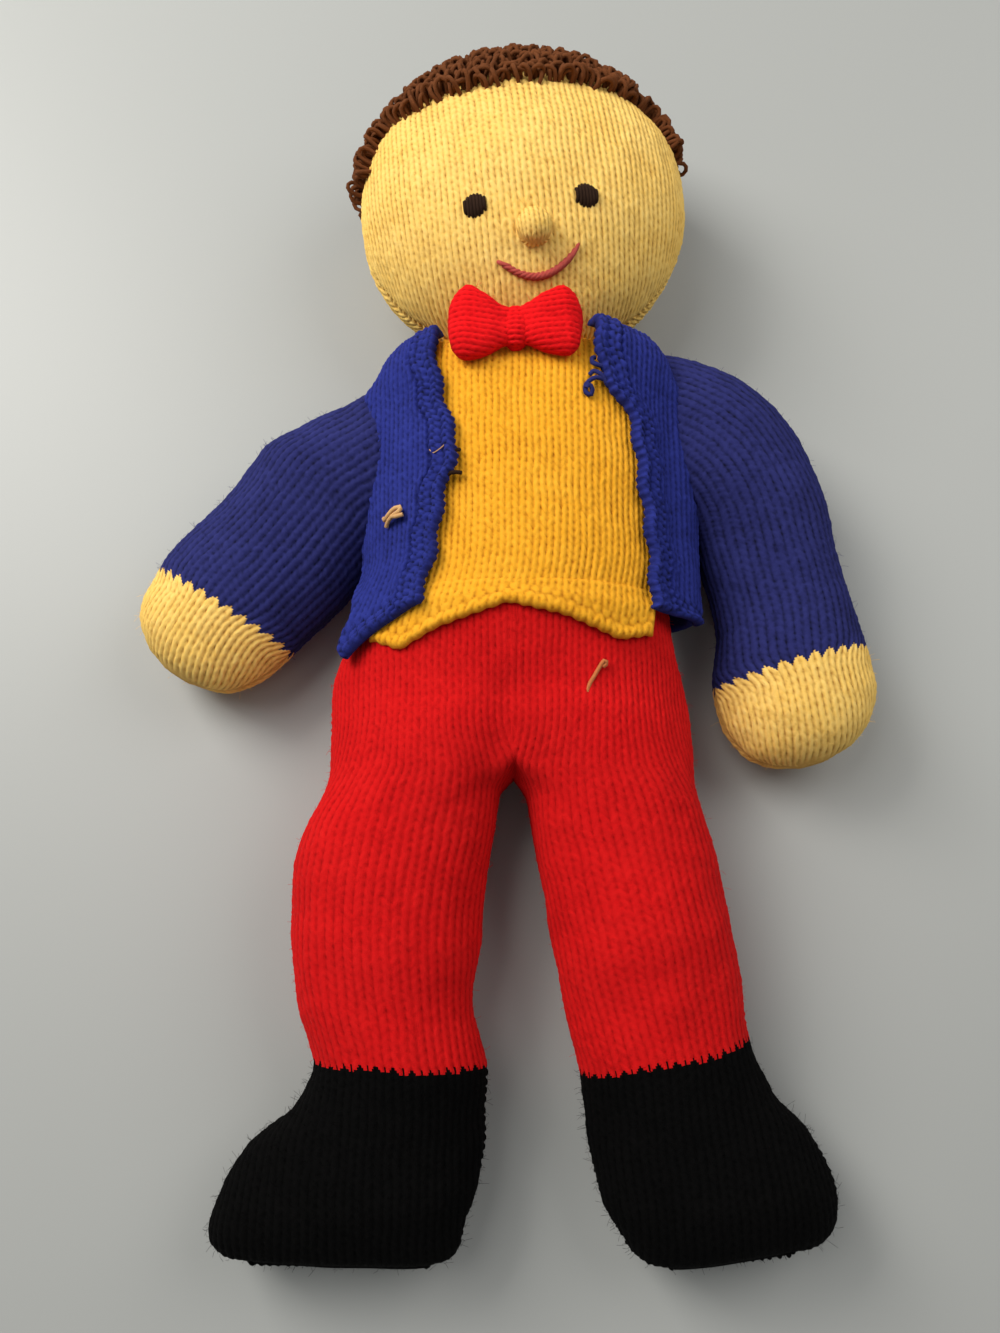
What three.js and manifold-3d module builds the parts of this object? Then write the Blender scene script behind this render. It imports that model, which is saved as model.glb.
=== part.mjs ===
import * as THREE from 'three';
import { mergeVertices } from 'three/addons/utils/BufferGeometryUtils.js';
import Module from 'manifold-3d';

const wasm = await Module();
wasm.setup();

// A knitted doll stuffed with wadding, lying on its back. Sizes are in millimetres.
// The waist is at y = 0, the head lies toward +Y, the front faces +Z and the doll's
// own left is +X. The last lines move the whole doll so that the middle of its
// underside is the origin.

// Fabric
const KNIT = 3; // thickness of the knitted fabric
const FIT = 0.3; // gap between pieces that touch
const SETTLE = 0.5; // how far a stuffed piece flattens where it lies
const OVERCUT = 1; // how far a cutting shape runs past what it cuts

// Head
const HEAD_WIDTH = 159;
const HEAD_HEIGHT = 156;
const HEAD_DEPTH = 100;
const HEAD_LEAN = THREE.MathUtils.degToRad(6);
const HEAD_GAP = 2.5; // between the head and the shoulders
const HAIR_THICK = 9;
const CROWN_LINE = 50; // the hair's lower edge, above the middle of the head
const FRINGE_DROP = 15; // how far the fringe hangs below that edge
const SIDE_HAIR_DEPTH = 34;
const SIDE_HAIR_END = 20; // where the side hair ends, above the middle of the head
const EYE_SPACING = 50;
const EYE_WIDTH = 10;
const EYE_DROP = 26; // below the middle of the head, as are the nose and the mouth
const NOSE_WIDTH = 16;
const NOSE_DROP = 40;
const MOUTH_WIDTH = 34;
const MOUTH_HEIGHT = 5;
const MOUTH_DROP = 56;
const MOUTH_SPREAD = 1; // how much further out its lower edge ends at each side
const STITCH_PAD = 2.4; // thickness of the stitched features

// Neck and torso
const NECK_WIDTH = 66;
const NECK_DEPTH = 44;
const TORSO_LENGTH = 128;
const TORSO_WIDTH = 134;
const TORSO_DEPTH = 84;
const TORSO_SWAY = 3; // the chest's middle, toward the doll's left
const SHOULDER_DROP = 4; // from the shoulders' top to where they round over

// Hips and legs
const HIP_LENGTH = 40;
const HIP_WIDTH = 160;
const HIP_DEPTH = 76;
const HIP_SWAY = -4;
const LEG_WIDTH = 86;
const LEG_DEPTH = 65;
const LEG_LENGTH = 120; // from the hip's fold line to the ankle
const FOLD_ABOVE = 28; // unstuffed fabric above and below the fold line
const FOLD_BELOW = 30;
const ANKLE_WIDTH = 71;
const ANKLE_DEPTH = 56;
const BOOT_HEIGHT = 77;
const BOOT_LENGTH = 98;
const BOOT_DEPTH = 50;
const RIGHT_LEG = { side: -1, lean: THREE.MathUtils.degToRad(2.5), bow: 10 };
const LEFT_LEG = { side: 1, lean: THREE.MathUtils.degToRad(10.5), bow: 4 };

// Arms: each leaves the body at one angle to the doll's length and ends at another
const ARM_WIDTH = 73;
const ARM_DEPTH = 54;
const ARM_SEAM_WIDTH = 62;
const ARM_SEAM_DEPTH = 30;
const ARM_SEAM_LEVEL = 100; // height of the seam's middle above the waist
const ARM_TUCK = 11; // how far the sleeve's end starts inside the torso's side
const SLEEVE_LENGTH = 64;
const HAND_LENGTH = 41;
const RIGHT_ARM = {
  side: -1,
  leave: THREE.MathUtils.degToRad(44),
  end: THREE.MathUtils.degToRad(40.5),
  foldTurn: THREE.MathUtils.degToRad(90),
  topLength: 53,
};
const LEFT_ARM = {
  side: 1,
  leave: THREE.MathUtils.degToRad(80),
  end: THREE.MathUtils.degToRad(10),
  foldTurn: THREE.MathUtils.degToRad(45),
  topLength: 85,
};

// Clothes
const BORDER_WIDTH = 12;
const COLLAR_HEIGHT = 9;
const JACKET_TOP = 5; // how far the jacket stops short of the shoulders' top
const RIGHT_FRONT = { side: -1, top: 35, middle: 29, hem: 41, hemLevel: 2, corner: 18 };
const LEFT_FRONT = { side: 1, top: 28, middle: 47, hem: 54, hemLevel: 0, corner: 8 };
const HEM_POINT = 20; // how far the waistcoat's points hang below the waist
const HEM_NOTCH = 3;
const HEM_POINT_SPACING = 87;
const BOW_WIDTH = 58;
const BOW_HEIGHT = 32;
const BOW_DEPTH = 15;
const BOW_LEVEL = 121;
const BOW_SHIFT = 4; // toward the doll's right, from the chest's middle
const KNOT_WIDTH = 14;

// Heights of the middles of the stuffed pieces above the floor
const CHEST_Z = TORSO_DEPTH / 2 + KNIT + FIT - SETTLE;
const HIP_Z = HIP_DEPTH / 2 - SETTLE;
const LEG_Z = LEG_DEPTH / 2 - SETTLE;
const BOOT_Z = BOOT_DEPTH / 2 - SETTLE;
const ARM_Z = ARM_DEPTH / 2 - SETTLE;
const HEAD_Z = HEAD_DEPTH / 2 - SETTLE;

const RADIAL = 20;
const COLOUR = {
  skin: 0xe3bd7c,
  hair: 0x5a3218,
  dark: 0x2a1a12,
  rose: 0xa8483c,
  yellow: 0xeca72d,
  red: 0xc61517,
  blue: 0x2d378c,
  black: 0x141311,
  wadding: 0xf1efe6,
};

const lerp = THREE.MathUtils.lerp;

function toSolid(geometry) {
  const plain = new THREE.BufferGeometry();
  plain.setAttribute('position', geometry.getAttribute('position'));
  plain.setIndex(geometry.index);
  const merged = mergeVertices(plain, 1e-4);
  return new wasm.Manifold(new wasm.Mesh({
    numProp: 3,
    vertProperties: new Float32Array(merged.getAttribute('position').array),
    triVerts: new Uint32Array(merged.index.array),
  }));
}

function toMesh(name, solid, colour) {
  const found = solid.getMesh();
  const geometry = new THREE.BufferGeometry();
  geometry.setAttribute('position', new THREE.BufferAttribute(new Float32Array(found.vertProperties), 3));
  geometry.setIndex(new THREE.BufferAttribute(new Uint32Array(found.triVerts), 1));
  geometry.computeVertexNormals();
  const material = new THREE.MeshStandardMaterial({ color: colour, roughness: 0.9 });
  const mesh = new THREE.Mesh(geometry, material);
  mesh.name = name;
  return mesh;
}

// A cross-section of a stuffed piece. It stands across the piece's run, which
// points along (sin turn, -cos turn); square above 2 fills out its corners.
function section(x, y, z, width, depth, turn = 0, square = 2) {
  return { x, y, z, width, depth, turn, square };
}

// A closed skin through cross-sections, each grown outward by the same amount.
function loft(sections, grow = 0) {
  const points = [];
  const faces = [];
  for (const s of sections) {
    for (let k = 0; k < RADIAL; k += 1) {
      const angle = (2 * Math.PI * k) / RADIAL;
      const across = Math.sign(Math.cos(angle)) * Math.abs(Math.cos(angle)) ** (2 / s.square);
      const up = Math.sign(Math.sin(angle)) * Math.abs(Math.sin(angle)) ** (2 / s.square);
      const reach = across * (s.width / 2 + grow);
      const lift = up * (s.depth / 2 + grow);
      points.push(s.x + reach * Math.cos(s.turn), s.y + reach * Math.sin(s.turn), s.z + lift);
    }
  }
  const first = sections[0];
  const last = sections[sections.length - 1];
  points.push(first.x, first.y, first.z, last.x, last.y, last.z);
  const firstMiddle = sections.length * RADIAL;
  const lastRing = firstMiddle - RADIAL;
  for (let k = 0; k < RADIAL; k += 1) {
    const next = (k + 1) % RADIAL;
    for (let row = 0; row < lastRing; row += RADIAL) {
      const below = row + RADIAL;
      faces.push(row + k, row + next, below + next, row + k, below + next, below + k);
    }
    faces.push(firstMiddle, next, k, firstMiddle + 1, lastRing + k, lastRing + next);
  }
  const geometry = new THREE.BufferGeometry();
  geometry.setAttribute('position', new THREE.Float32BufferAttribute(points, 3));
  geometry.setIndex(faces);
  return toSolid(geometry);
}

// Moves an end cross-section along its own run.
function moved(s, distance) {
  return { ...s, x: s.x + distance * Math.sin(s.turn), y: s.y - distance * Math.cos(s.turn) };
}

// The same cross-sections with the first one and the last one moved outward.
function stretched(sections, atStart, atEnd) {
  const last = sections.length - 1;
  return sections.map((s, i) => {
    if (i === 0) return moved(s, -atStart);
    return i === last ? moved(s, atEnd) : s;
  });
}

// The fabric round a stuffed piece: open where it meets another, or closed at its end.
function cover(sections, closedEnd) {
  const hollow = stretched(sections, OVERCUT, closedEnd ? -KNIT : OVERCUT);
  return loft(sections).subtract(loft(hollow, -KNIT));
}

// The wadding inside that fabric.
function wadding(sections, closedEnd) {
  const inside = stretched(sections, 0, closedEnd ? -KNIT - FIT : 0);
  return loft(inside, -KNIT - FIT);
}

// Keeps what lies beyond a plane that crosses a run at a point.
function beyond(solid, x, y, turn, gap = 0) {
  const normal = [Math.sin(turn), -Math.cos(turn), 0];
  return solid.trimByPlane(normal, normal[0] * x + normal[1] * y + gap);
}

function before(solid, x, y, turn, gap = 0) {
  const normal = [-Math.sin(turn), Math.cos(turn), 0];
  return solid.trimByPlane(normal, normal[0] * x + normal[1] * y + gap);
}

function frontOf(solid, seam) {
  return solid.trimByPlane([0, 0, 1], seam + FIT / 2);
}

function backOf(solid, seam) {
  return solid.trimByPlane([0, 0, -1], FIT / 2 - seam);
}

// Cuts off what would sink into the floor, leaving a flat face.
function laid(solid) {
  return solid.trimByPlane([0, 0, 1], 0);
}

// An upright block over an outline drawn in the plan.
function block(shape, from, to) {
  const geometry = new THREE.ExtrudeGeometry(shape, {
    depth: to - from,
    bevelEnabled: false,
    curveSegments: 6,
  });
  geometry.translate(0, 0, from);
  return toSolid(geometry);
}

// Cross-sections from the shoulders' top to the tops of the legs.
function bodySections() {
  const rows = [
    [TORSO_LENGTH, NECK_WIDTH, NECK_DEPTH],
    [TORSO_LENGTH - SHOULDER_DROP, lerp(NECK_WIDTH, TORSO_WIDTH, 0.4), lerp(NECK_DEPTH, TORSO_DEPTH, 0.45)],
    [TORSO_LENGTH * 0.89, TORSO_WIDTH * 0.86, TORSO_DEPTH * 0.87],
    [TORSO_LENGTH * 0.75, TORSO_WIDTH * 0.97, TORSO_DEPTH * 0.96],
    [TORSO_LENGTH * 0.47, TORSO_WIDTH, TORSO_DEPTH],
    [TORSO_LENGTH * 0.2, TORSO_WIDTH * 0.985, TORSO_DEPTH],
  ];
  const chest = rows.map(([y, width, depth]) => section(TORSO_SWAY, y, CHEST_Z, width, depth));
  const waistX = (TORSO_SWAY + HIP_SWAY) / 2;
  const waistWidth = lerp(TORSO_WIDTH, HIP_WIDTH, 0.08);
  const midHipZ = (CHEST_Z + HIP_Z) / 2;
  const midHipWidth = lerp(TORSO_WIDTH, HIP_WIDTH, 0.7);
  const midHipDepth = lerp(TORSO_DEPTH, HIP_DEPTH, 0.6);
  return [
    ...chest,
    section(waistX, 0, CHEST_Z, waistWidth, TORSO_DEPTH * 0.98),
    section(HIP_SWAY, -HIP_LENGTH / 2, midHipZ, midHipWidth, midHipDepth),
    section(HIP_SWAY, -HIP_LENGTH, HIP_Z, HIP_WIDTH, HIP_DEPTH),
  ];
}

const BODY = bodySections();

function torsoPieces() {
  const fabric = cover(BODY, false);
  const bodice = before(fabric, 0, 0, 0);
  const seat = beyond(fabric, 0, 0, 0, FIT);
  const filling = wadding(stretched(BODY, -KNIT, 0), false);
  return [
    toMesh('waistcoat_front', frontOf(bodice, CHEST_Z), COLOUR.yellow),
    toMesh('waistcoat_back', laid(backOf(bodice, CHEST_Z)), COLOUR.yellow),
    toMesh('trouser_seat_front', frontOf(seat, HIP_Z), COLOUR.red),
    toMesh('trouser_seat_back', laid(backOf(seat, HIP_Z)), COLOUR.red),
    toMesh('body_wadding', filling, COLOUR.wadding),
  ];
}

// Where a front's edge lies at a height above the waist, from the chest's middle.
function frontEdge(front, inset) {
  const x = (distance) => TORSO_SWAY + front.side * (distance + inset);
  return [
    new THREE.Vector2(x(front.top), TORSO_LENGTH),
    new THREE.Vector2(x(front.middle), TORSO_LENGTH * 0.5),
    new THREE.Vector2(x(front.hem), front.hemLevel),
  ];
}

// The plan of one jacket front from an edge to the side; grow widens it all round.
function frontPlan(front, inset, grow) {
  const edge = frontEdge(front, inset - grow);
  const side = TORSO_SWAY + front.side * TORSO_WIDTH;
  const low = Math.min(front.hemLevel, -front.corner) - grow;
  const shape = new THREE.Shape();
  shape.moveTo(edge[0].x, edge[0].y);
  shape.splineThru([edge[1], new THREE.Vector2(edge[2].x, edge[2].y - grow)]);
  shape.lineTo(TORSO_SWAY + front.side * (TORSO_WIDTH * 0.54), low);
  shape.lineTo(side, low);
  shape.lineTo(side, TORSO_LENGTH);
  shape.closePath();
  return shape;
}

// Fabric lying over the body, one layer of knitting thick, between two distances.
function layer(from, to) {
  return loft(BODY, to).subtract(loft(stretched(BODY, OVERCUT, OVERCUT), from));
}

function frontCover(front, inset, from, to) {
  const plan = block(frontPlan(front, inset, 0), CHEST_Z + FIT / 2, CHEST_Z + TORSO_DEPTH);
  return before(layer(from, to), 0, 0, 0, -HIP_LENGTH).intersect(plan);
}

function jacketFront(front, name) {
  const jacketEnd = TORSO_LENGTH - JACKET_TOP;
  const whole = beyond(frontCover(front, 0, FIT, FIT + KNIT), 0, jacketEnd, 0);
  const inner = block(frontPlan(front, BORDER_WIDTH, 0), 0, CHEST_Z + TORSO_DEPTH);
  const outer = block(frontPlan(front, BORDER_WIDTH, FIT), 0, CHEST_Z + TORSO_DEPTH);
  return [
    toMesh(`jacket_${name}_front`, whole.intersect(inner), COLOUR.blue),
    toMesh(`jacket_${name}_border`, whole.subtract(outer), COLOUR.blue),
  ];
}

function jacketPieces() {
  const jacketEnd = TORSO_LENGTH - JACKET_TOP;
  const collarEnd = jacketEnd - COLLAR_HEIGHT;
  const back = laid(backOf(before(layer(FIT, FIT + KNIT), 0, 0, 0), CHEST_Z));
  return [
    toMesh('jacket_back', beyond(back, 0, collarEnd, 0, FIT), COLOUR.blue),
    toMesh('jacket_collar', before(beyond(back, 0, jacketEnd, 0), 0, collarEnd, 0), COLOUR.blue),
    ...jacketFront(RIGHT_FRONT, 'right'),
    ...jacketFront(LEFT_FRONT, 'left'),
  ];
}

// The waistcoat's lower edge: two points with a notch between them, over the trousers.
function waistcoatHem() {
  const middle = TORSO_SWAY;
  const shape = new THREE.Shape();
  const half = HEM_POINT_SPACING / 2;
  shape.moveTo(middle - TORSO_WIDTH * 0.42, FIT);
  shape.lineTo(middle - TORSO_WIDTH * 0.42, -HEM_POINT * 0.75);
  shape.lineTo(middle - half, -HEM_POINT);
  shape.lineTo(middle - half * 0.66, -HEM_POINT * 0.6);
  shape.lineTo(middle - half * 0.1, -HEM_NOTCH);
  shape.lineTo(middle + half * 0.45, -HEM_POINT * 0.4);
  shape.lineTo(middle + half, -HEM_POINT * 0.78);
  shape.lineTo(middle + TORSO_WIDTH * 0.42, -HEM_POINT * 0.62);
  shape.lineTo(middle + TORSO_WIDTH * 0.42, FIT);
  shape.closePath();
  const plan = block(shape, CHEST_Z + FIT, CHEST_Z + TORSO_DEPTH);
  let hem = layer(FIT, FIT + KNIT).intersect(plan);
  for (const front of [RIGHT_FRONT, LEFT_FRONT]) {
    hem = hem.subtract(block(frontPlan(front, 0, FIT), 0, CHEST_Z + TORSO_DEPTH));
  }
  return toMesh('waistcoat_hem', hem, COLOUR.yellow);
}

// Height of the chest's front surface at a distance above the waist.
function chestFront(level) {
  const above = BODY.filter((s) => s.y >= level).pop();
  const below = BODY.find((s) => s.y < level);
  const share = (level - below.y) / (above.y - below.y);
  return CHEST_Z + lerp(below.depth, above.depth, share) / 2;
}

function bowSections(grow) {
  const z = chestFront(BOW_LEVEL) + BOW_DEPTH * 0.42;
  const rows = [
    [-0.5, 0.7, 0.5],
    [-0.36, 1, 1],
    [-0.14, 0.66, 0.9],
    [0, 0.42, 0.7],
    [0.14, 0.66, 0.9],
    [0.36, 1, 1],
    [0.5, 0.7, 0.5],
  ];
  return rows.map(([along, tall, thick]) => section(
    TORSO_SWAY - BOW_SHIFT + along * (BOW_WIDTH + 2 * grow),
    BOW_LEVEL,
    z,
    BOW_HEIGHT * tall,
    BOW_DEPTH * thick,
    Math.PI / 2,
  ));
}

function bowTie() {
  const z = chestFront(BOW_LEVEL) + BOW_DEPTH * 0.42;
  const x = TORSO_SWAY - BOW_SHIFT;
  const wrapRows = [[-0.5, 0.5], [-0.25, 0.62], [0.25, 0.62], [0.5, 0.5]];
  const wrap = wrapRows.map(([along, size]) => section(
    x + along * KNOT_WIDTH, BOW_LEVEL, z, BOW_HEIGHT * size + KNIT, BOW_DEPTH + 2 * KNIT, Math.PI / 2,
  ));
  const under = loft(stretched(BODY, OVERCUT, OVERCUT), FIT);
  const fronts = [RIGHT_FRONT, LEFT_FRONT].map((front) => {
    const plan = block(frontPlan(front, 0, FIT), 0, CHEST_Z + TORSO_DEPTH);
    return loft(BODY, KNIT + 2 * FIT).intersect(plan);
  });
  const clear = (solid) => solid.subtract(under).subtract(fronts[0]).subtract(fronts[1]);
  return [
    toMesh('bow_tie', clear(loft(bowSections(0))), COLOUR.red),
    toMesh('bow_tie_knot', clear(loft(wrap).subtract(loft(bowSections(0), FIT))), COLOUR.red),
  ];
}

// The middle line of an arm at a distance from the sleeve's end inside the torso.
function armAt(arm, distance) {
  const bend = arm.leave - arm.end;
  const curved = Math.min(distance, arm.topLength);
  const now = arm.leave - (bend * curved) / arm.topLength;
  const radius = arm.topLength / bend;
  const out = radius * (Math.cos(now) - Math.cos(arm.leave));
  const down = radius * (Math.sin(arm.leave) - Math.sin(now));
  const straight = distance - curved;
  const startX = TORSO_SWAY + arm.side * (TORSO_WIDTH / 2 - ARM_TUCK);
  return {
    x: startX + arm.side * (out + straight * Math.sin(arm.end)),
    y: ARM_SEAM_LEVEL - down - straight * Math.cos(arm.end),
    turn: arm.side * now,
  };
}

function armSections(arm) {
  const cuff = arm.topLength + SLEEVE_LENGTH;
  const rows = [
    [0, ARM_SEAM_WIDTH * 0.72, ARM_SEAM_DEPTH * 0.8],
    [arm.topLength * 0.3, ARM_SEAM_WIDTH * 0.95, ARM_SEAM_DEPTH],
    [arm.topLength * 0.65, lerp(ARM_SEAM_WIDTH, ARM_WIDTH, 0.5), lerp(ARM_SEAM_DEPTH, ARM_DEPTH, 0.7)],
    [arm.topLength, ARM_WIDTH * 0.96, ARM_DEPTH * 0.97],
    [arm.topLength + SLEEVE_LENGTH * 0.5, ARM_WIDTH * 0.95, ARM_DEPTH],
    [cuff, ARM_WIDTH, ARM_DEPTH],
    [cuff + HAND_LENGTH * 0.35, ARM_WIDTH * 0.98, ARM_DEPTH * 0.98],
    [cuff + HAND_LENGTH * 0.68, ARM_WIDTH * 0.8, ARM_DEPTH * 0.85],
    [cuff + HAND_LENGTH * 0.9, ARM_WIDTH * 0.52, ARM_DEPTH * 0.58],
    [cuff + HAND_LENGTH, ARM_WIDTH * 0.26, ARM_DEPTH * 0.3],
  ];
  return rows.map(([distance, width, depth]) => {
    const at = armAt(arm, distance);
    const settled = THREE.MathUtils.smoothstep(distance, arm.topLength * 0.2, cuff * 0.8);
    return section(at.x, at.y, lerp(CHEST_Z, ARM_Z, settled), width, depth, at.turn);
  });
}

function armPieces(arm, name) {
  const sections = armSections(arm);
  const torso = loft(stretched(BODY, OVERCUT, OVERCUT), KNIT + 2 * FIT);
  const fabric = laid(cover(sections, true).subtract(torso));
  const filling = wadding(sections, true);
  const fold = armAt(arm, arm.topLength);
  const foldTurn = arm.side * arm.foldTurn;
  const cuff = armAt(arm, arm.topLength + SLEEVE_LENGTH);
  const lower = beyond(fabric, fold.x, fold.y, foldTurn, FIT);
  return [
    toMesh(`${name}_sleeve_top`, before(fabric, fold.x, fold.y, foldTurn), COLOUR.blue),
    toMesh(`${name}_sleeve`, before(lower, cuff.x, cuff.y, cuff.turn), COLOUR.blue),
    toMesh(`${name}_hand`, beyond(lower, cuff.x, cuff.y, cuff.turn, FIT), COLOUR.skin),
    toMesh(`${name}_arm_wadding`, beyond(filling, fold.x, fold.y, foldTurn, FIT), COLOUR.wadding),
  ];
}

const HIP_FOLD_Y = -HIP_LENGTH - FOLD_ABOVE;

// The middle line of a leg at a distance below the hip's fold line.
function legAt(leg, distance) {
  const share = Math.max(0, distance) / LEG_LENGTH;
  const bowed = leg.bow * Math.sin(Math.PI * Math.min(1, share));
  const hipX = HIP_SWAY + leg.side * (HIP_WIDTH / 4 + FIT);
  const lean = Math.max(0, distance);
  return {
    x: hipX + leg.side * (lean * Math.sin(leg.lean) + bowed * Math.cos(leg.lean)),
    y: HIP_FOLD_Y - Math.min(0, distance) - lean * Math.cos(leg.lean) + bowed * Math.sin(leg.lean),
    turn: distance > 0 ? leg.side * leg.lean : 0,
  };
}

function legSections(leg) {
  const half = HIP_WIDTH / 2 - 2 * FIT;
  const toe = (BOOT_LENGTH - ANKLE_WIDTH) / 2;
  const top = HIP_DEPTH - 2 * SETTLE;
  const down = (share) => LEG_LENGTH + BOOT_HEIGHT * share;
  const calf = [lerp(LEG_WIDTH, ANKLE_WIDTH, 0.75), lerp(LEG_DEPTH, ANKLE_DEPTH, 0.7)];
  const cuff = [lerp(ANKLE_WIDTH, BOOT_LENGTH, 0.14), lerp(ANKLE_DEPTH, BOOT_DEPTH, 0.6)];
  const instep = lerp(ANKLE_WIDTH, BOOT_LENGTH, 0.5);
  const vamp = lerp(ANKLE_WIDTH, BOOT_LENGTH, 0.85);
  const lying = (depth) => depth / 2 - SETTLE;
  const rows = [
    [FIT - FOLD_ABOVE, 0, half, top, HIP_Z + SETTLE, 2.7],
    [0, 0, half, lerp(top, LEG_DEPTH, 0.4), lerp(HIP_Z, LEG_Z, 0.4) + SETTLE, 2.3],
    [FOLD_BELOW, 0, LEG_WIDTH, LEG_DEPTH, LEG_Z, 2],
    [LEG_LENGTH * 0.55, 0, LEG_WIDTH, LEG_DEPTH, LEG_Z, 2],
    [LEG_LENGTH * 0.8, 0, calf[0], calf[1], lying(calf[1]), 2],
    [LEG_LENGTH, 0, ANKLE_WIDTH, ANKLE_DEPTH, lying(ANKLE_DEPTH), 2],
    [down(0.25), toe * 0.15, cuff[0], cuff[1], lying(cuff[1]), 2],
    [down(0.46), toe * 0.7, instep, BOOT_DEPTH, BOOT_Z, 2.2],
    [down(0.66), toe * 1.3, vamp, BOOT_DEPTH, BOOT_Z, 2.2],
    [down(0.85), toe * 1.8, BOOT_LENGTH, BOOT_DEPTH * 0.8, BOOT_Z, 2.2],
    [down(0.96), toe * 1.8, BOOT_LENGTH * 0.88, BOOT_DEPTH * 0.5, BOOT_Z, 2.2],
    [down(1), toe * 1.7, BOOT_LENGTH * 0.7, BOOT_DEPTH * 0.24, BOOT_Z, 2.2],
  ];
  return rows.map(([distance, outward, width, depth, level, square]) => {
    const at = legAt(leg, distance);
    const x = at.x + leg.side * outward * Math.cos(at.turn);
    const y = at.y + leg.side * outward * Math.sin(at.turn);
    return section(x, y, level, width, depth, at.turn, square);
  });
}

function legPieces(leg, name) {
  const sections = legSections(leg);
  const fabric = laid(cover(sections, true));
  const filling = wadding(sections, true);
  const fold = legAt(leg, FOLD_BELOW);
  const ankle = legAt(leg, LEG_LENGTH);
  const lower = beyond(fabric, fold.x, fold.y, fold.turn, FIT);
  const trouser = before(lower, ankle.x, ankle.y, ankle.turn);
  const boot = beyond(lower, ankle.x, ankle.y, ankle.turn, FIT);
  return [
    toMesh(`${name}_hip_fold`, before(fabric, fold.x, fold.y, fold.turn), COLOUR.red),
    toMesh(`${name}_trouser_front`, frontOf(trouser, LEG_Z), COLOUR.red),
    toMesh(`${name}_trouser_back`, backOf(trouser, LEG_Z), COLOUR.red),
    toMesh(`${name}_boot_front`, frontOf(boot, BOOT_Z), COLOUR.black),
    toMesh(`${name}_boot_back`, backOf(boot, BOOT_Z), COLOUR.black),
    toMesh(`${name}_leg_wadding`, beyond(filling, fold.x, fold.y, fold.turn, FIT + KNIT), COLOUR.wadding),
  ];
}

// The head's own shape round its middle, grown by an amount.
function headGeometry(grow) {
  const geometry = new THREE.SphereGeometry(1, 24, 16);
  geometry.rotateX(Math.PI / 2);
  geometry.scale(HEAD_WIDTH / 2 + grow, HEAD_HEIGHT / 2 + grow, HEAD_DEPTH / 2 + grow);
  return geometry;
}

function headShape(grow) {
  return toSolid(headGeometry(grow));
}

// A pad on the face, over a plan outline, as thick as embroidered stitches.
function facePad(shape) {
  const skin = headShape(FIT + STITCH_PAD).subtract(headShape(FIT));
  return skin.intersect(block(shape, 0, HEAD_DEPTH));
}

function eye(side) {
  const shape = new THREE.Shape();
  shape.absarc(side * EYE_SPACING / 2, -EYE_DROP, EYE_WIDTH / 2, 0, 2 * Math.PI);
  return facePad(shape);
}

function mouth() {
  const shape = new THREE.Shape();
  const half = MOUTH_WIDTH / 2;
  const corner = MOUTH_HEIGHT * 1.6 - MOUTH_DROP;
  const upper = -MOUTH_DROP - MOUTH_HEIGHT * 1.6;
  const lower = upper - MOUTH_HEIGHT * 1.4;
  shape.moveTo(-half, corner);
  shape.quadraticCurveTo(0, upper, half, corner);
  shape.lineTo(half + MOUTH_SPREAD, corner - MOUTH_HEIGHT * 0.6);
  shape.quadraticCurveTo(0, lower, -half - MOUTH_SPREAD, corner - MOUTH_HEIGHT * 0.6);
  shape.closePath();
  return facePad(shape);
}

function nose() {
  const geometry = new THREE.SphereGeometry(NOSE_WIDTH / 2, 12, 8);
  const rise = Math.sqrt(1 - (2 * NOSE_DROP / HEAD_HEIGHT) ** 2);
  geometry.translate(0, -NOSE_DROP, (HEAD_DEPTH / 2) * rise + NOSE_WIDTH * 0.2);
  return toSolid(geometry).subtract(headShape(FIT));
}

// Yarn hair over the crown, with a fringe in front and a tuft down each side seam.
function hairPieces() {
  const hair = headShape(HAIR_THICK).subtract(headShape(FIT));
  const crown = hair.trimByPlane([0, 1, 0], CROWN_LINE);
  const rest = hair.trimByPlane([0, -1, 0], FIT - CROWN_LINE);
  const fringeEnd = CROWN_LINE - FRINGE_DROP;
  const half = SIDE_HAIR_DEPTH / 2;
  const fringe = rest.trimByPlane([0, 1, 0], fringeEnd).trimByPlane([0, 0, 1], half + FIT);
  const tufts = rest.trimByPlane([0, 1, 0], SIDE_HAIR_END);
  const sides = tufts.trimByPlane([0, 0, 1], -half).trimByPlane([0, 0, -1], -half);
  return [
    toMesh('hair_crown', crown, COLOUR.hair),
    toMesh('hair_fringe', fringe, COLOUR.hair),
    toMesh('hair_right_side', sides.trimByPlane([-1, 0, 0], 0), COLOUR.hair),
    toMesh('hair_left_side', sides.trimByPlane([1, 0, 0], 0), COLOUR.hair),
  ];
}

function headPieces() {
  const fabric = headShape(0).subtract(headShape(-KNIT));
  const flat = fabric.trimByPlane([0, 0, 1], -HEAD_Z);
  return [
    toMesh('head_front', frontOf(flat, 0), COLOUR.skin),
    toMesh('head_back', backOf(flat, 0), COLOUR.skin),
    toMesh('head_wadding', headShape(-KNIT - FIT), COLOUR.wadding),
    toMesh('right_eye', eye(-1), COLOUR.dark),
    toMesh('left_eye', eye(1), COLOUR.dark),
    toMesh('nose', nose(), COLOUR.skin),
    toMesh('mouth', mouth(), COLOUR.rose),
    ...hairPieces(),
  ];
}

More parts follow.
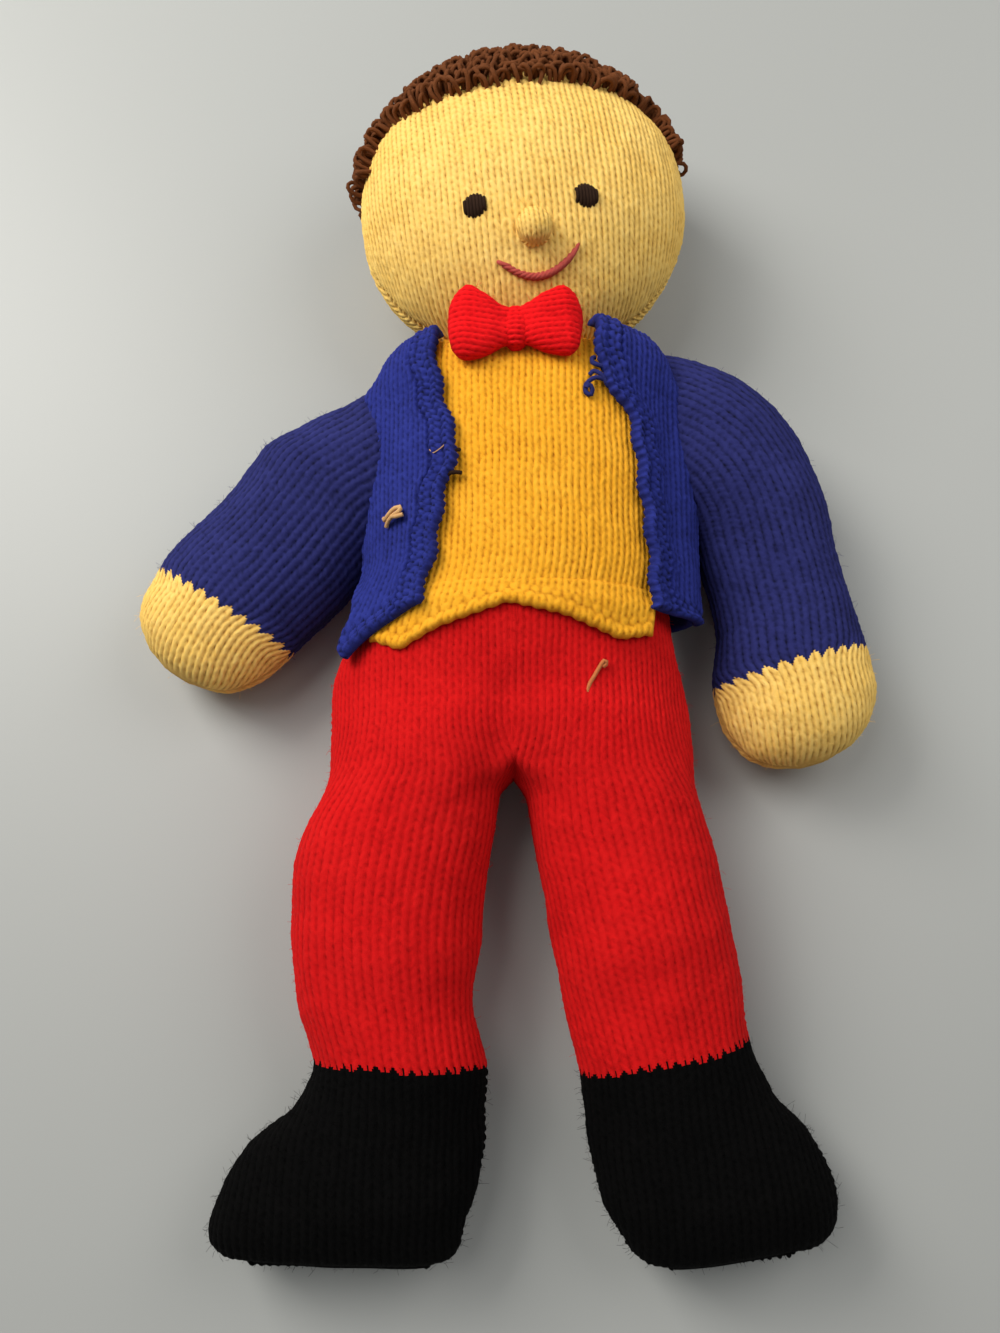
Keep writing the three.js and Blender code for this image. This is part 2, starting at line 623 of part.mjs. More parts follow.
// The gathered ring of fabric that joins the head to the shoulders, and its filling.
function neckPieces(neckY, headY) {
  const sections = [headY, neckY, TORSO_LENGTH + FIT].map((y) => (
    section(TORSO_SWAY, y, CHEST_Z, NECK_WIDTH - KNIT, NECK_DEPTH - KNIT)
  ));
  const place = (geometry) => toSolid(geometry.rotateZ(HEAD_LEAN).translate(TORSO_SWAY, headY, HEAD_Z));
  const head = place(headGeometry(FIT));
  const turning = place(headGeometry(2 * FIT).scale(1, 1, HEAD_WIDTH / HEAD_DEPTH));
  const plugRows = [[0.5, 0.5], [0.25, 0.88], [0, 1], [-0.25, 0.88], [-0.5, 0.5]];
  const high = neckY - TORSO_LENGTH;
  const plug = plugRows.map(([along, size]) => section(
    TORSO_SWAY,
    neckY + along * high,
    CHEST_Z,
    (NECK_WIDTH - 3 * KNIT - 2 * FIT) * size,
    (NECK_DEPTH - 3 * KNIT - 2 * FIT) * size,
  ));
  return [
    toMesh('neck_band', cover(sections, false).subtract(head), COLOUR.skin),
    toMesh('neck_wadding', loft(plug).subtract(turning), COLOUR.wadding),
  ];
}

// A group whose own origin is a pivot; its pieces keep the places they were made in.
function hung(name, x, y, z, meshes) {
  const group = new THREE.Group();
  group.name = name;
  group.position.set(x, y, z);
  for (const mesh of meshes) {
    mesh.geometry.translate(-x, -y, -z);
    group.add(mesh);
  }
  return group;
}

function buildDoll() {
  const doll = new THREE.Group();
  doll.name = 'knitted_doll';
  const torso = new THREE.Group();
  torso.name = 'torso_group';
  torso.add(...torsoPieces(), ...jacketPieces(), waistcoatHem(), ...bowTie());
  doll.add(torso);

  const headY = TORSO_LENGTH + HEAD_GAP + HEAD_HEIGHT / 2;
  const neckY = TORSO_LENGTH + HEAD_GAP * 2;
  doll.add(hung('neck_group', TORSO_SWAY, neckY, HEAD_Z, neckPieces(neckY, headY)));
  const head = new THREE.Group();
  head.name = 'head_group';
  head.position.set(TORSO_SWAY, headY, HEAD_Z);
  head.rotation.z = HEAD_LEAN;
  head.add(...headPieces());
  doll.add(head);

  for (const [arm, name] of [[RIGHT_ARM, 'right'], [LEFT_ARM, 'left']]) {
    const seam = TORSO_SWAY + arm.side * (TORSO_WIDTH / 2 + KNIT + FIT);
    doll.add(hung(`${name}_arm_group`, seam, ARM_SEAM_LEVEL, CHEST_Z, armPieces(arm, name)));
  }
  for (const [leg, name] of [[RIGHT_LEG, 'right'], [LEFT_LEG, 'left']]) {
    const hip = legAt(leg, 0);
    doll.add(hung(`${name}_leg_group`, hip.x, hip.y, LEG_Z, legPieces(leg, name)));
  }

  const box = new THREE.Box3().setFromObject(doll, true);
  const middle = box.getCenter(new THREE.Vector3());
  doll.position.set(-middle.x, -middle.y, -box.min.z);
  return doll;
}

export default buildDoll();
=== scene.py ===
import math

import bpy
import numpy as np
from mathutils import Matrix, Vector


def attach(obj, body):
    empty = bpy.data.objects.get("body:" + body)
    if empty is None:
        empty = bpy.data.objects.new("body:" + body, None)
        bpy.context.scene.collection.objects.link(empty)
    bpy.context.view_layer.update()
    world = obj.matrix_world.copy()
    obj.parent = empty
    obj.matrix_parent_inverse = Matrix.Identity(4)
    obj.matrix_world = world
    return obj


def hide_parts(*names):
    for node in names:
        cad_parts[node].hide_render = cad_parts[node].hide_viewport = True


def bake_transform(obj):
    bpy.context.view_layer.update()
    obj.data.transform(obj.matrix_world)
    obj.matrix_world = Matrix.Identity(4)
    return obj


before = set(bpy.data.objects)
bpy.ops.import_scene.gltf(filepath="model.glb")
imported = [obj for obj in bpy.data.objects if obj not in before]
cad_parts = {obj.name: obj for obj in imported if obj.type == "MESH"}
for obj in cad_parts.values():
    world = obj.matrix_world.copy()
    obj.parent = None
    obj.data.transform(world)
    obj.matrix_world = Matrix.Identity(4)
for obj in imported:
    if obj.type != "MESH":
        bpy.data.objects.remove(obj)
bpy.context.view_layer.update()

# A knitted doll stuffed with wadding, lying on its back on a pale table. Shapes are worked
# out in millimetres in the doll's own frame, with the waist at y = 0, the head toward +Y, the
# front toward +Z and the doll's own left toward +X, and place() puts them in the model's frame.

MM = 0.001
SHIFT = np.array((3.12, -14.86, 0.0))

# Head
HEAD_WIDTH = 159
HEAD_HEIGHT = 156
HEAD_DEPTH = 100
HEAD_LEAN = math.radians(6)
HEAD_MIDDLE = 208.5
EYE_SPACING = 50
EYE_WIDTH = 10
EYE_DROP = 26
EYE_YARN = 1.7
NOSE_WIDTH = 16
NOSE_DROP = 40
MOUTH_WIDTH = 34
MOUTH_DROP = 57.5
MOUTH_CURVE = 8.0
MOUTH_YARN = 1.9

# Hair: where it grows, the sizes of its loops, how far apart they are, and how many are tried
HAIR_THICK = 9
HAIR_YARN = 2.1
CROWN_LINE = 50
FRINGE_DROP = 15
SIDE_HAIR_DEPTH = 34
SIDE_HAIR_END = 20
SIDE_HAIR_INNER = 30
LOOP_TALL = (0.62, 1.0)
LOOP_WIDE = (2.6, 4.6)
LOOP_LEAN = 0.5
LOOP_ROOT = 0.8
HAIR_APART = 2.45
HAIR_TRIES = 40000

# Torso, hips and legs
NECK_WIDTH = 63
NECK_DEPTH = 41
NECK_TOP = 141
NECK_END = 125
TORSO_WIDTH = 134
TORSO_DEPTH = 84
TORSO_SWAY = 3
HIP_LENGTH = 40
HIP_WIDTH = 160
HIP_DEPTH = 76
HIP_SWAY = -4
LEG_DEPTH = 65
LEG_LENGTH = 120
FOLD_ABOVE = 28
FOLD_BELOW = 30
LEG_TOP = -HIP_LENGTH - FOLD_ABOVE
TROUSERS_START = -72
ANKLE_DEPTH = 56
BOOT_DEPTH = 50
# bow is how far a leg curves out, gap the space beside it at the top, tip the toe's last widths as
# shares of the sole, and slim what is taken off its inner side down the leg
RIGHT_LEG = {
    "name": "right", "side": -1, "lean": math.radians(2.5), "foot": math.radians(1), "bow": 9,
    "gap": 2, "thigh": 84, "ankle": 73, "boot": 77, "sole": 104, "tip": (0.99, 0.9, 0.72),
    "slim": (0, 2.5, 6), "seat": "trouser_seat_front",
}
LEFT_LEG = {
    "name": "left", "side": 1, "lean": math.radians(12.3), "foot": math.radians(5.5), "bow": 0,
    "gap": 6.5, "thigh": 80, "ankle": 73, "boot": 80, "sole": 96, "tip": (0.92, 0.76, 0.54),
    "slim": (3, 4, 1.5), "seat": "trouser_seat_back",
}

# Arms
ARM_WIDTH = 73
ARM_DEPTH = 54
ARM_SEAM_WIDTH = 62
ARM_SEAM_DEPTH = 30
ARM_SEAM_LEVEL = 100
ARM_SEAM_OUT = 3.3
ARM_TUCK = 11
SLEEVE_START = -13
SLEEVE_LENGTH = 64
HAND_LENGTH = 41
# An arm leaves its armhole at one angle and ends at another after a curve as long as top. puff and
# hand widen its outer side, slim narrows its inner side, and its cuff lies off the wrist, skewed.
RIGHT_ARM = {
    "name": "right", "side": -1, "leave": math.radians(44), "end": math.radians(40.5), "top": 53,
    "puff": (-4, -5, -1, 8), "hand": 7, "slim": (0, 0, 3.5), "cuff": 6,
    "skew": math.radians(8.5), "bend": (-1, 0, 0), "reach": 22,
}
LEFT_ARM = {
    "name": "left", "side": 1, "leave": math.radians(80), "end": math.radians(10), "top": 85,
    "puff": (9, 7, 1, -1), "hand": 0, "slim": (4, 6, 0), "cuff": -2,
    "skew": math.radians(5.5), "bend": (0.707, -0.707, 0), "reach": 40,
}

# Clothes
WAISTCOAT_TOP = 128.1
WAISTCOAT_END = -12
WAISTCOAT_TUCK = 3.2
BORDER_WIDTH = 12
JACKET_TOP = 128.4
BACK_TOP = JACKET_TOP - 1
BACK_END = -1
SEAM_OVERLAP = 1.5
CORNER_ROUND = 8
HEM_BAND = 10
COLLAR_BAND = 9
JACKET_GAP = 0.6
JACKET_THICK = 3.4
COLLAR_LIFT = (100, 127)
HEM_LIFT = 2.0
BORDER_LIFT = 1.4
# A front's edge is given by level, as distances from the middle; its lower edge runs from hem at
# the edge to corner at the side, flare moves that corner out, and lift and spread raise the cloth
RIGHT_FRONT = {
    "name": "right", "side": -1, "hem": -3, "corner": 22, "flare": -18, "lift": 1, "spread": (2, 7),
    "edge": ((-6, 38), (8, 37), (42, 33.5), (66, 28), (90, 33.5), (120, 38), (129, 36)),
}
LEFT_FRONT = {
    "name": "left", "side": 1, "hem": -2, "corner": 5, "flare": 1.5, "lift": 4.3, "spread": (8, 8),
    "edge": (
        (-2, 53), (17, 51), (36, 49), (54, 46.8), (73, 45), (80, 44), (87, 41.5), (93, 37),
        (99, 33), (111, 30), (129, 29),
    ),
}
POINTS_TOP = 9
POINTS_END = -22
POINTS_REACH = 62.0
POINTS_FROM = 129.4
POINTS_LINE = (
    (-57, -15), (-43.5, -20), (-29, -12), (-3.5, -3), (20, -7.6), (43.5, -15.6), (57, -12.4),
)
BOW_WIDTH = 58
BOW_HEIGHT = 32
BOW_DEPTH = 15
BOW_LEVEL = 123.3
BOW_MIDDLE = -1
BOW_LEAN = 0.26
BOW_FLAT = 0.4
KNOT_WIDTH = 9

# Heights above the table: the middles of the stuffed pieces, and the least of cloth and linings
CHEST_Z = 44.8
HIP_Z = 37.5
LEG_Z = 32
BOOT_Z = 24.5
ARM_Z = 26.5
HEAD_Z = 49.5
BOW_Z = CHEST_Z + 36.2 + BOW_DEPTH * 0.42
LEAST_Z = 0.05
UNDERSIDE_Z = 0.6

# Knitting: how many points each stitch gets across and along, and the wale and course sizes
ACROSS = 10
ALONG = 4
HALF_RING = 97
VEST_STITCH = (5.8, 3.5)
HEAD_STITCH = (5.8, 3.5)
HIP_WALE = 5.8
LEG_STITCH = (8.0, 3.7)
BOOT_WALE = 7.2
SLEEVE_STITCH = (8.2, 3.2)
HAND_STITCH = (6.2, 3.9)
JACKET_STITCH = (5.4, 3.2)
BORDER_STITCH = (3.4, 2.9)
BORDER_WALE = 5
POINTS_STITCH = (4.4, 3.2)
BOW_STITCH = (5.0, 3.1)
KNOT_STITCH = (4.4, 2.8)
NOSE_STITCH = (4.4, 2.7)

# A stitch's mean height, where stitches fade and cloth dips beside a seam, the sizes of its uneven
# swells, how a sheet's edge is rounded and fades, and the yarn's fine hairs
MEAN_HEIGHT = 0.55
SEAM_FADE = 3.2
SEAM_DIP = 4.5
SEAM_PITCH = 3.7
SWELLS = (34, 15)
EDGE_ROUND = 2.2
EDGE_FADE = 1.6
EDGE_ROLL = 2.6
FUZZ_THICK = 0.11
FUZZ_LONG = (0.8, 2.2)

# Cloth: how it takes the wadding's pressure, for how many frames, and the coarse copy it acts on
CLOTH_SETTINGS = {
    "quality": 5, "mass": 0.004, "tension_stiffness": 4, "compression_stiffness": 4,
    "shear_stiffness": 2, "use_pressure": True, "uniform_pressure_force": 6,
    "vertex_group_mass": "held",
}
CLOTH_FRAMES = 20
CLOTH_EVERY = 5
CLOTH_COLUMNS = 21

# Camera, with the photograph's size in pixels
CAMERA_PLACE = (-0.00488, -0.14266, 0.4775)
CAMERA_TILT = math.radians(14)
CAMERA_SENSOR = 36
PHOTO_SIZE = (1000, 1333)


def place(points):
    return (np.asarray(points, float) + SHIFT) * MM


def ease(low, high, x):
    """From 0 at low to 1 at high, level at both ends."""
    t = np.clip((np.asarray(x, float) - low) / (high - low), 0, 1)
    return t * t * (3 - 2 * t)


def mix(a, b, share):
    return a + (b - a) * share


def unit(vectors):
    return vectors / np.maximum(np.linalg.norm(vectors, axis=-1, keepdims=True), 1e-9)


def smooth(knots, values, at):
    """A smooth line through rows of values at rising knots, without overshoot."""
    x = np.asarray(knots, float)
    y = np.asarray(values, float).reshape(len(x), -1)
    at = np.clip(at, x[0], x[-1])
    step = np.diff(x)[:, None]
    slope = np.diff(y, axis=0) / step
    tangent = np.zeros_like(y)
    one, two = 2 * step[1:] + step[:-1], step[1:] + 2 * step[:-1]
    rising = slope[:-1] * slope[1:] > 0
    safe = [np.where(rising, s, 1) for s in (slope[:-1], slope[1:])]
    tangent[1:-1] = np.where(rising, (one + two) / (one / safe[0] + two / safe[1]), 0)
    tangent[0], tangent[-1] = slope[0], slope[-1]
    i = np.clip(np.searchsorted(x, at, side="right") - 1, 0, len(x) - 2)
    t = ((at - x[i]) / step[i, 0])[:, None]
    a, b = t * t * (3 - 2 * t), t * (1 - t)
    bend = tangent[i] * b * (1 - t) - tangent[i + 1] * b * t
    return y[i] * (1 - a) + y[i + 1] * a + step[i] * bend


def shaped(rows, at):
    """Columns of a table read smoothly between its rows, whose first values are their places."""
    return smooth([r[0] for r in rows], [r[1:] for r in rows], at).T


def lumps(points, size, seed):
    """Smooth seeded unevenness between -1 and 1, with swells of a given size."""
    cells = 16
    lattice = np.random.default_rng(seed).uniform(-1, 1, (cells, cells, cells))
    q = np.asarray(points, float) / size
    cell = np.floor(q).astype(int)
    f = q - cell
    f = f * f * (3 - 2 * f)
    total = np.zeros(q.shape[:-1])
    for corner in np.ndindex(2, 2, 2):
        share = np.ones(q.shape[:-1])
        for k in range(3):
            share = share * (f[..., k] if corner[k] else 1 - f[..., k])
        total += share * lattice[tuple((cell[..., k] + corner[k]) % cells for k in range(3))]
    return total


# Stitches

TENSION = np.random.default_rng(5).uniform(0.78, 1.12, (61, 67))


def tension(u, course):
    """How full each stitch is drawn, by its wale and course."""
    wales_kept, courses_kept = TENSION.shape
    return TENSION[np.floor(u).astype(int) % wales_kept, course.astype(int) % courses_kept]


def crowns(v, form, power):
    """Height of whichever course stands highest at v courses, and that course."""
    height, course = np.zeros(np.shape(v)), np.floor(v)
    for k in (-1, 0, 1):
        row = np.floor(v) + k
        h = np.clip(form(row), 0, None) ** power
        course = np.where(h > height, row, course)
        height = np.maximum(height, h)
    return height, course


def stocking(u, v):
    """Height of stocking stitch from 0 to 1, and which course shows, at u wales and v courses.
    Each stitch is a V of two slanted legs whose point lies toward rising v."""
    half, slant = 0.25, 0.26
    w = np.abs(u - np.floor(u) - 0.5) - half

    def leg(row):
        d = v - row - 0.5
        return 1 - ((w + slant * d) / half) ** 2 - d ** 2

    height, course = crowns(v, leg, 0.7)
    rib = np.clip(np.cos(2 * math.pi * w), 0, 1) ** 0.8
    return mix(rib, height, 0.66) * tension(u, course), course


def upturned(u, v):
    """Stocking stitch whose points lie toward falling v."""
    height, course = stocking(u, -v)
    return height, -1 - course


def garter(u, v):
    """Height of the bumpy stitch used for edges: rounded bumps, each row half a bump along."""
    wide, tall, bow = 0.62, 0.72, 0.22

    def bump(row):
        x = u + 0.5 * (row % 2)
        x = x - np.floor(x) - 0.5
        bend = bow * (1 - (2 * x) ** 2)
        return 1 - (x / wide) ** 2 - ((v - row - 0.5 + bend) / tall) ** 2

    height, course = crowns(v, bump, 1)
    return height * tension(u + 0.5 * (course % 2), course), course


def wandering(points, u, v, seed):
    """Wales and courses that wander a little, as hand knitting does."""
    u = u + 0.09 * lumps(points, 13, seed) + 0.04 * lumps(points, 5, seed + 1)
    return u, v + 0.25 * lumps(points, 11, seed + 2)


# Forms


def sections_of(*values):
    """Cross-sections from x, y, z, width, depth, turn and squareness, by row or one for all."""
    return np.stack(np.broadcast_arrays(*values), axis=-1).astype(float)


def half_ring(sections, lower=False):
    """Points round the upper or lower half of each cross-section, from its -x to its +x side."""
    x, y, z, width, depth, turn, square = (sections[:, k, None] for k in range(7))
    angle = np.linspace(math.pi, 0, HALF_RING)[None, :]
    c, s = np.cos(angle), np.clip(np.sin(angle), 0, 1)
    reach = np.sign(c) * np.abs(c) ** (2 / square) * width / 2
    lift = s ** (2 / square) * depth / 2 * (-1 if lower else 1)
    lift[:, [0, -1]] = 0
    return np.stack([x + reach * np.cos(turn), y + reach * np.sin(turn), z + lift], axis=-1)


def halves_of(sections):
    return half_ring(sections), half_ring(sections, lower=True)


def arc_of(line):
    """Distance along each row of points."""
    step = np.linalg.norm(np.diff(line, axis=1), axis=2)
    return np.concatenate([np.zeros((len(line), 1)), np.cumsum(step, axis=1)], axis=1)


def run_of(line):
    """Distance along one line of points."""
    return arc_of(line[None])[0]


def read_along(at, arc, line):
    """A line's values at distances along it."""
    return np.stack([np.interp(at, arc, values) for values in line.T], axis=-1)


def respaced(line):
    """The same rows with as many points as a half ring, evenly spaced."""
    return np.stack([
        read_along(np.linspace(0, a[-1], HALF_RING), a, row) for a, row in zip(arc_of(line), line)
    ])


def softened(rows, reach):
    """Rows of points blended with their neighbours, which rounds off creases."""
    weight = np.exp(-0.5 * (np.arange(-3 * reach, 3 * reach + 1) / reach) ** 2)
    ends = [np.repeat(rows[k:k + 1], 3 * reach, axis=0) for k in (0, len(rows) - 1)]
    longer = np.concatenate([ends[0], rows, ends[1]])
    return sum(w * longer[k:k + len(rows)] for k, w in enumerate(weight / weight.sum()))


def behind(ring, count):
    """The back half of a ring of points whose front half has count points."""
    return np.concatenate([ring[:, :1], ring[:, :count - 1:-1], ring[:, count - 1:count]], axis=1)


def outward(front, back):
    """Outward directions of a form's two halves, the same along the seams."""
    ring = np.concatenate([front, back[:, -2:0:-1]], axis=1)
    round_it = np.roll(ring, -1, 1) - np.roll(ring, 1, 1)
    normal = unit(np.cross(np.gradient(ring, axis=0), round_it))
    count = front.shape[1]
    return normal[:, :count], behind(normal, count)


def knit_grid(line, normal, zero, courses, pitch, knit, seam, swell, seed, quiet, relief):
    """Points of a knitted panel over rows of a form. zero is each row's place of the middle wale,
    and quiet is how far its stitches stand out."""
    arc = arc_of(line)
    pitch = np.broadcast_to(np.asarray(pitch, float), (len(line),))
    low, high = -zero / pitch, (arc[:, -1] - zero) / pitch
    first, last = math.floor(low.min() * ACROSS) - 1, math.ceil(high.max() * ACROSS) + 1
    u = np.clip((np.arange(first, last) + 0.5)[None, :] / ACROSS, low[:, None], high[:, None])
    at = u * pitch[:, None] + zero[:, None]
    both = np.concatenate([line, normal], axis=2)
    laid = np.stack([read_along(*row) for row in zip(at, arc, both)])
    points, out = laid[..., :3], laid[..., 3:]
    v = np.broadcast_to(courses[:, None], u.shape)
    height, _ = knit(*wandering(points, u, v, seed + 50))
    edge = np.minimum(at, arc[:, -1:] - at)
    inside = ease(0, SEAM_FADE, edge) * quiet[:, None]
    uneven = lumps(points, SWELLS[0], seed) + 0.5 * lumps(points, SWELLS[1], seed + 1)
    move = relief * (height - MEAN_HEIGHT) * inside - seam * (1 - ease(0, SEAM_DIP, edge))
    move = move + swell * uneven
    points = points + out * move[..., None]
    points[..., 2] = np.maximum(points[..., 2], LEAST_Z)
    # lift is the stitch height, faded to a middle value near seams; the yarn finishes paint shade
    # where it is low and highlights where it is high
    return {"points": points, "u": u, "v": v, "lift": mix(0.45, height, inside)}


# Meshes


def alone(obj=None):
    bpy.ops.object.select_all(action="DESELECT")
    if obj is not None:
        obj.select_set(True)
        bpy.context.view_layer.objects.active = obj


def joined(objects):
    alone(objects[0])
    for obj in objects:
        obj.select_set(True)
    bpy.ops.object.join()
    return bpy.context.object


def lay_grid(name, grid, change=None, knit=stocking, ragged=0.0):
    """A flat grid of stitches laid where the panel's points are. From the course `change` on, its
    faces take the second yarn, which shows between a stitch's legs where the change is ragged."""
    rows, columns = grid["u"].shape
    alone()
    bpy.ops.mesh.primitive_grid_add(x_subdivisions=columns - 1, y_subdivisions=rows - 1, size=1)
    obj = bpy.context.object
    obj.name = name
    mesh = obj.data
    mesh.vertices.foreach_set("co", place(grid["points"]).ravel())
    corner = np.empty(len(mesh.loops), int)
    mesh.loops.foreach_get("vertex_index", corner)
    pattern = np.stack([grid["u"].ravel(), grid["v"].ravel()], axis=-1)
    mesh.uv_layers[0].name = "stitches"
    mesh.uv_layers[0].data.foreach_set("uv", pattern[corner].ravel())
    # lift carries the stitch height that the yarn finishes turn into painted shade and painted
    # highlights
    lift = mesh.attributes.new("lift", "FLOAT", "POINT")
    lift.data.foreach_set("value", np.asarray(grid["lift"], np.float32).ravel())
    if change is not None:
        u, v = (
            (a[:-1, :-1] + a[1:, :-1] + a[:-1, 1:] + a[1:, 1:]) / 4 for a in (grid["u"], grid["v"])
        )
        wale = np.floor(u)
        notch = ease(0.13, 0.02, np.abs(u - wale - 0.5)) + 0.2 * np.sin(5.3 * wale)
        _, course = knit(u, v + ragged * notch)
        second = (course >= change).astype(np.int32)
        mesh.polygons.foreach_set("material_index", second.ravel())
    return obj


def sewn(name, parts, finishes):
    """Joins panels into one closed skin, merges what meets and turns its faces outward."""
    for part in parts:
        for finish in finishes:
            part.data.materials.append(finish)
    obj = joined(parts)
    obj.name = obj.data.name = name
    bpy.ops.object.mode_set(mode="EDIT")
    bpy.ops.mesh.select_all(action="SELECT")
    bpy.ops.mesh.remove_doubles(threshold=1e-5)
    bpy.ops.mesh.normals_make_consistent(inside=False)
    bpy.ops.object.mode_set(mode="OBJECT")
    bpy.ops.object.shade_smooth()
    return obj


def strands(name, lines, thick, finish, sides=1):
    """Lengths of yarn along lines of points, one tube each."""
    curve = bpy.data.curves.new(name, "CURVE")
    curve.dimensions = "3D"
    curve.bevel_depth = thick / 2 * MM
    curve.bevel_resolution = sides
    curve.use_fill_caps = True
    for line in lines:
        points = place(line)
        spline = curve.splines.new("POLY")
        spline.points.add(len(points) - 1)
        weighted = np.concatenate([points, np.ones((len(points), 1))], axis=1)
        spline.points.foreach_set("co", weighted.ravel())
    obj = bpy.data.objects.new(name, curve)
    bpy.context.scene.collection.objects.link(obj)
    alone(obj)
    bpy.ops.object.convert(target="MESH")
    obj = bpy.context.object
    obj.data.materials.append(finish)
    bpy.ops.object.shade_smooth()
    # An even lift of 0.8: strands get little painted shade and some painted highlight
    lift = obj.data.attributes.new("lift", "FLOAT", "POINT")
    lift.data.foreach_set("value", np.full(len(obj.data.vertices), 0.8, np.float32))
    return obj


def fuzzy(obj, count, seed, second=1.0):
    """Fine hairs of the yarn that stand off a knitted piece. second is how much hairier its second
    yarn is than its first."""
    rng = np.random.default_rng(seed)
    mesh = obj.data
    total = len(mesh.polygons)
    centre, facing = np.empty(total * 3), np.empty(total * 3)
    yarn_of = np.empty(total, np.int32)
    mesh.polygons.foreach_get("center", centre)
    mesh.polygons.foreach_get("normal", facing)
    mesh.polygons.foreach_get("material_index", yarn_of)
    hairy = np.where(yarn_of == 1, second, 1.0)
    worth = hairy * (facing[2::3] > -0.2)
    chosen = rng.choice(total, count, replace=False, p=worth / worth.sum())
    root = centre.reshape(-1, 3)[chosen] / MM - SHIFT
    out = facing.reshape(-1, 3)[chosen]
    lean = rng.normal(size=(count, 3)) * 0.6
    long = rng.uniform(*FUZZ_LONG, (count, 1)) * hairy[chosen][:, None] ** 0.25
    middle = root + (out + lean * 0.4) * long * 0.5
    tip = root + (out * 0.7 + lean) * long
    lines = np.stack([root - out * 0.3, middle, tip], axis=1)
    lines[..., 2] = np.maximum(lines[..., 2], 0.15)
    joined([obj] + [
        strands(f"{obj.name}_hairs", lines[yarn_of[chosen] == k], FUZZ_THICK, finish, sides=0)
        for k, finish in enumerate(mesh.materials)
    ])


def dressed(obj, body, slot, *nodes, fill=None):
    """Puts a piece on the body it rides, unless it bends between two, and hides the solids it
    stands for. slot, its yarn, is not used. fill, how full a stuffed piece is, is not used."""
    if body:
        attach(obj, body)
    if nodes:
        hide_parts(*nodes)


# Finishes


class Signal:
    """One output of a finish's nodes; arithmetic on it adds Math nodes."""

    def __init__(self, finish, socket):
        self.finish = finish
        self.socket = socket

    def maths(self, operation, a, b):
        return self.finish.add("ShaderNodeMath", {"operation": operation}, {0: a, 1: b})

    def __add__(self, other):
        return self.maths("ADD", self, other)

    def __radd__(self, other):
        return self.maths("ADD", other, self)

    def __sub__(self, other):
        return self.maths("SUBTRACT", self, other)

    def __rsub__(self, other):
        return self.maths("SUBTRACT", other, self)

    def __mul__(self, other):
        return self.maths("MULTIPLY", self, other)

    def __rmul__(self, other):
        return self.maths("MULTIPLY", other, self)


class Finish:
    """A material, its Principled shader and the nodes that feed it."""

    def __init__(self, name, **constants):
        self.material = bpy.data.materials.new(name)
        self.material.use_nodes = True
        self.nodes = self.material.node_tree.nodes
        self.shader = self.nodes["Principled BSDF"]
        for socket, value in constants.items():
            self.shader.inputs[socket.replace("_", " ")].default_value = value

    def add(self, kind, settings=(), inputs=(), output=0):
        node = self.nodes.new(kind)
        for key, value in dict(settings).items():
            setattr(node, key, value)
        for key, value in dict(inputs).items():
            self.put(node.inputs[key], value)
        return Signal(self, node.outputs[output])

    def put(self, socket, value):
        if isinstance(value, Signal):
            self.material.node_tree.links.new(value.socket, socket)
        else:
            socket.default_value = value

    def feed(self, name, value):
        self.put(self.shader.inputs[name], value)

    def blend(self, share, a, b):
        """A colour between two colours."""
        colours = {0: share, 6: a, 7: b}
        return self.add("ShaderNodeMix", {"data_type": "RGBA"}, colours, output=2)


def srgb(colour):
    """A colour given as it looks on a screen, from 0 to 255."""
    parts = [c / 255 for c in colour]
    linear = (c / 12.92 if c <= 0.04045 else ((c + 0.055) / 1.055) ** 2.4 for c in parts)
    return tuple(linear) + (1.0,)


def yarn(name, *colours, sheen=0.1, shine=0.15):
    """A woollen yarn: painted shade between the stitches, a painted highlight on their crowns,
    uneven and fibrous.
    """
    painted_shade, plain, painted_highlight = (srgb(c) for c in colours)
    finish = Finish(
        name, Roughness=0.95, Sheen_Weight=sheen, Sheen_Roughness=0.5, Sheen_Tint=painted_highlight,
        Specular_IOR_Level=shine,
    )
    where = finish.add("ShaderNodeTexCoord", output=3)
    lift = finish.add("ShaderNodeAttribute", {"attribute_name": "lift"}, output=2)
    swell, slub, hairs = (
        finish.add("ShaderNodeTexNoise", {}, {"Vector": where, "Scale": scale, "Detail": detail})
        for scale, detail in ((45.0, 3.0), (420.0, 2.0), (2600.0, 3.0))
    )
    # Painted shade: the yarn darkens where lift, the stitch height, is low, between the stitches
    painted_shade_mask = finish.add("ShaderNodeClamp", {}, {0: lift * 1.7 + slub * 0.5 - 0.5})
    base = finish.blend(painted_shade_mask, painted_shade, plain)
    # Painted highlight: the yarn pales, unevenly, where the stitches stand high
    crown = finish.add("ShaderNodeClamp", {}, {0: (slub * 0.9 + swell * 0.7 - 0.45) * lift})
    finish.feed("Base Color", finish.blend(crown, base, painted_highlight))
    relief = {"Strength": 0.6, "Distance": 0.0005, "Height": hairs + slub * 0.6}
    finish.feed("Normal", finish.add("ShaderNodeBump", {}, relief))
    return finish.material


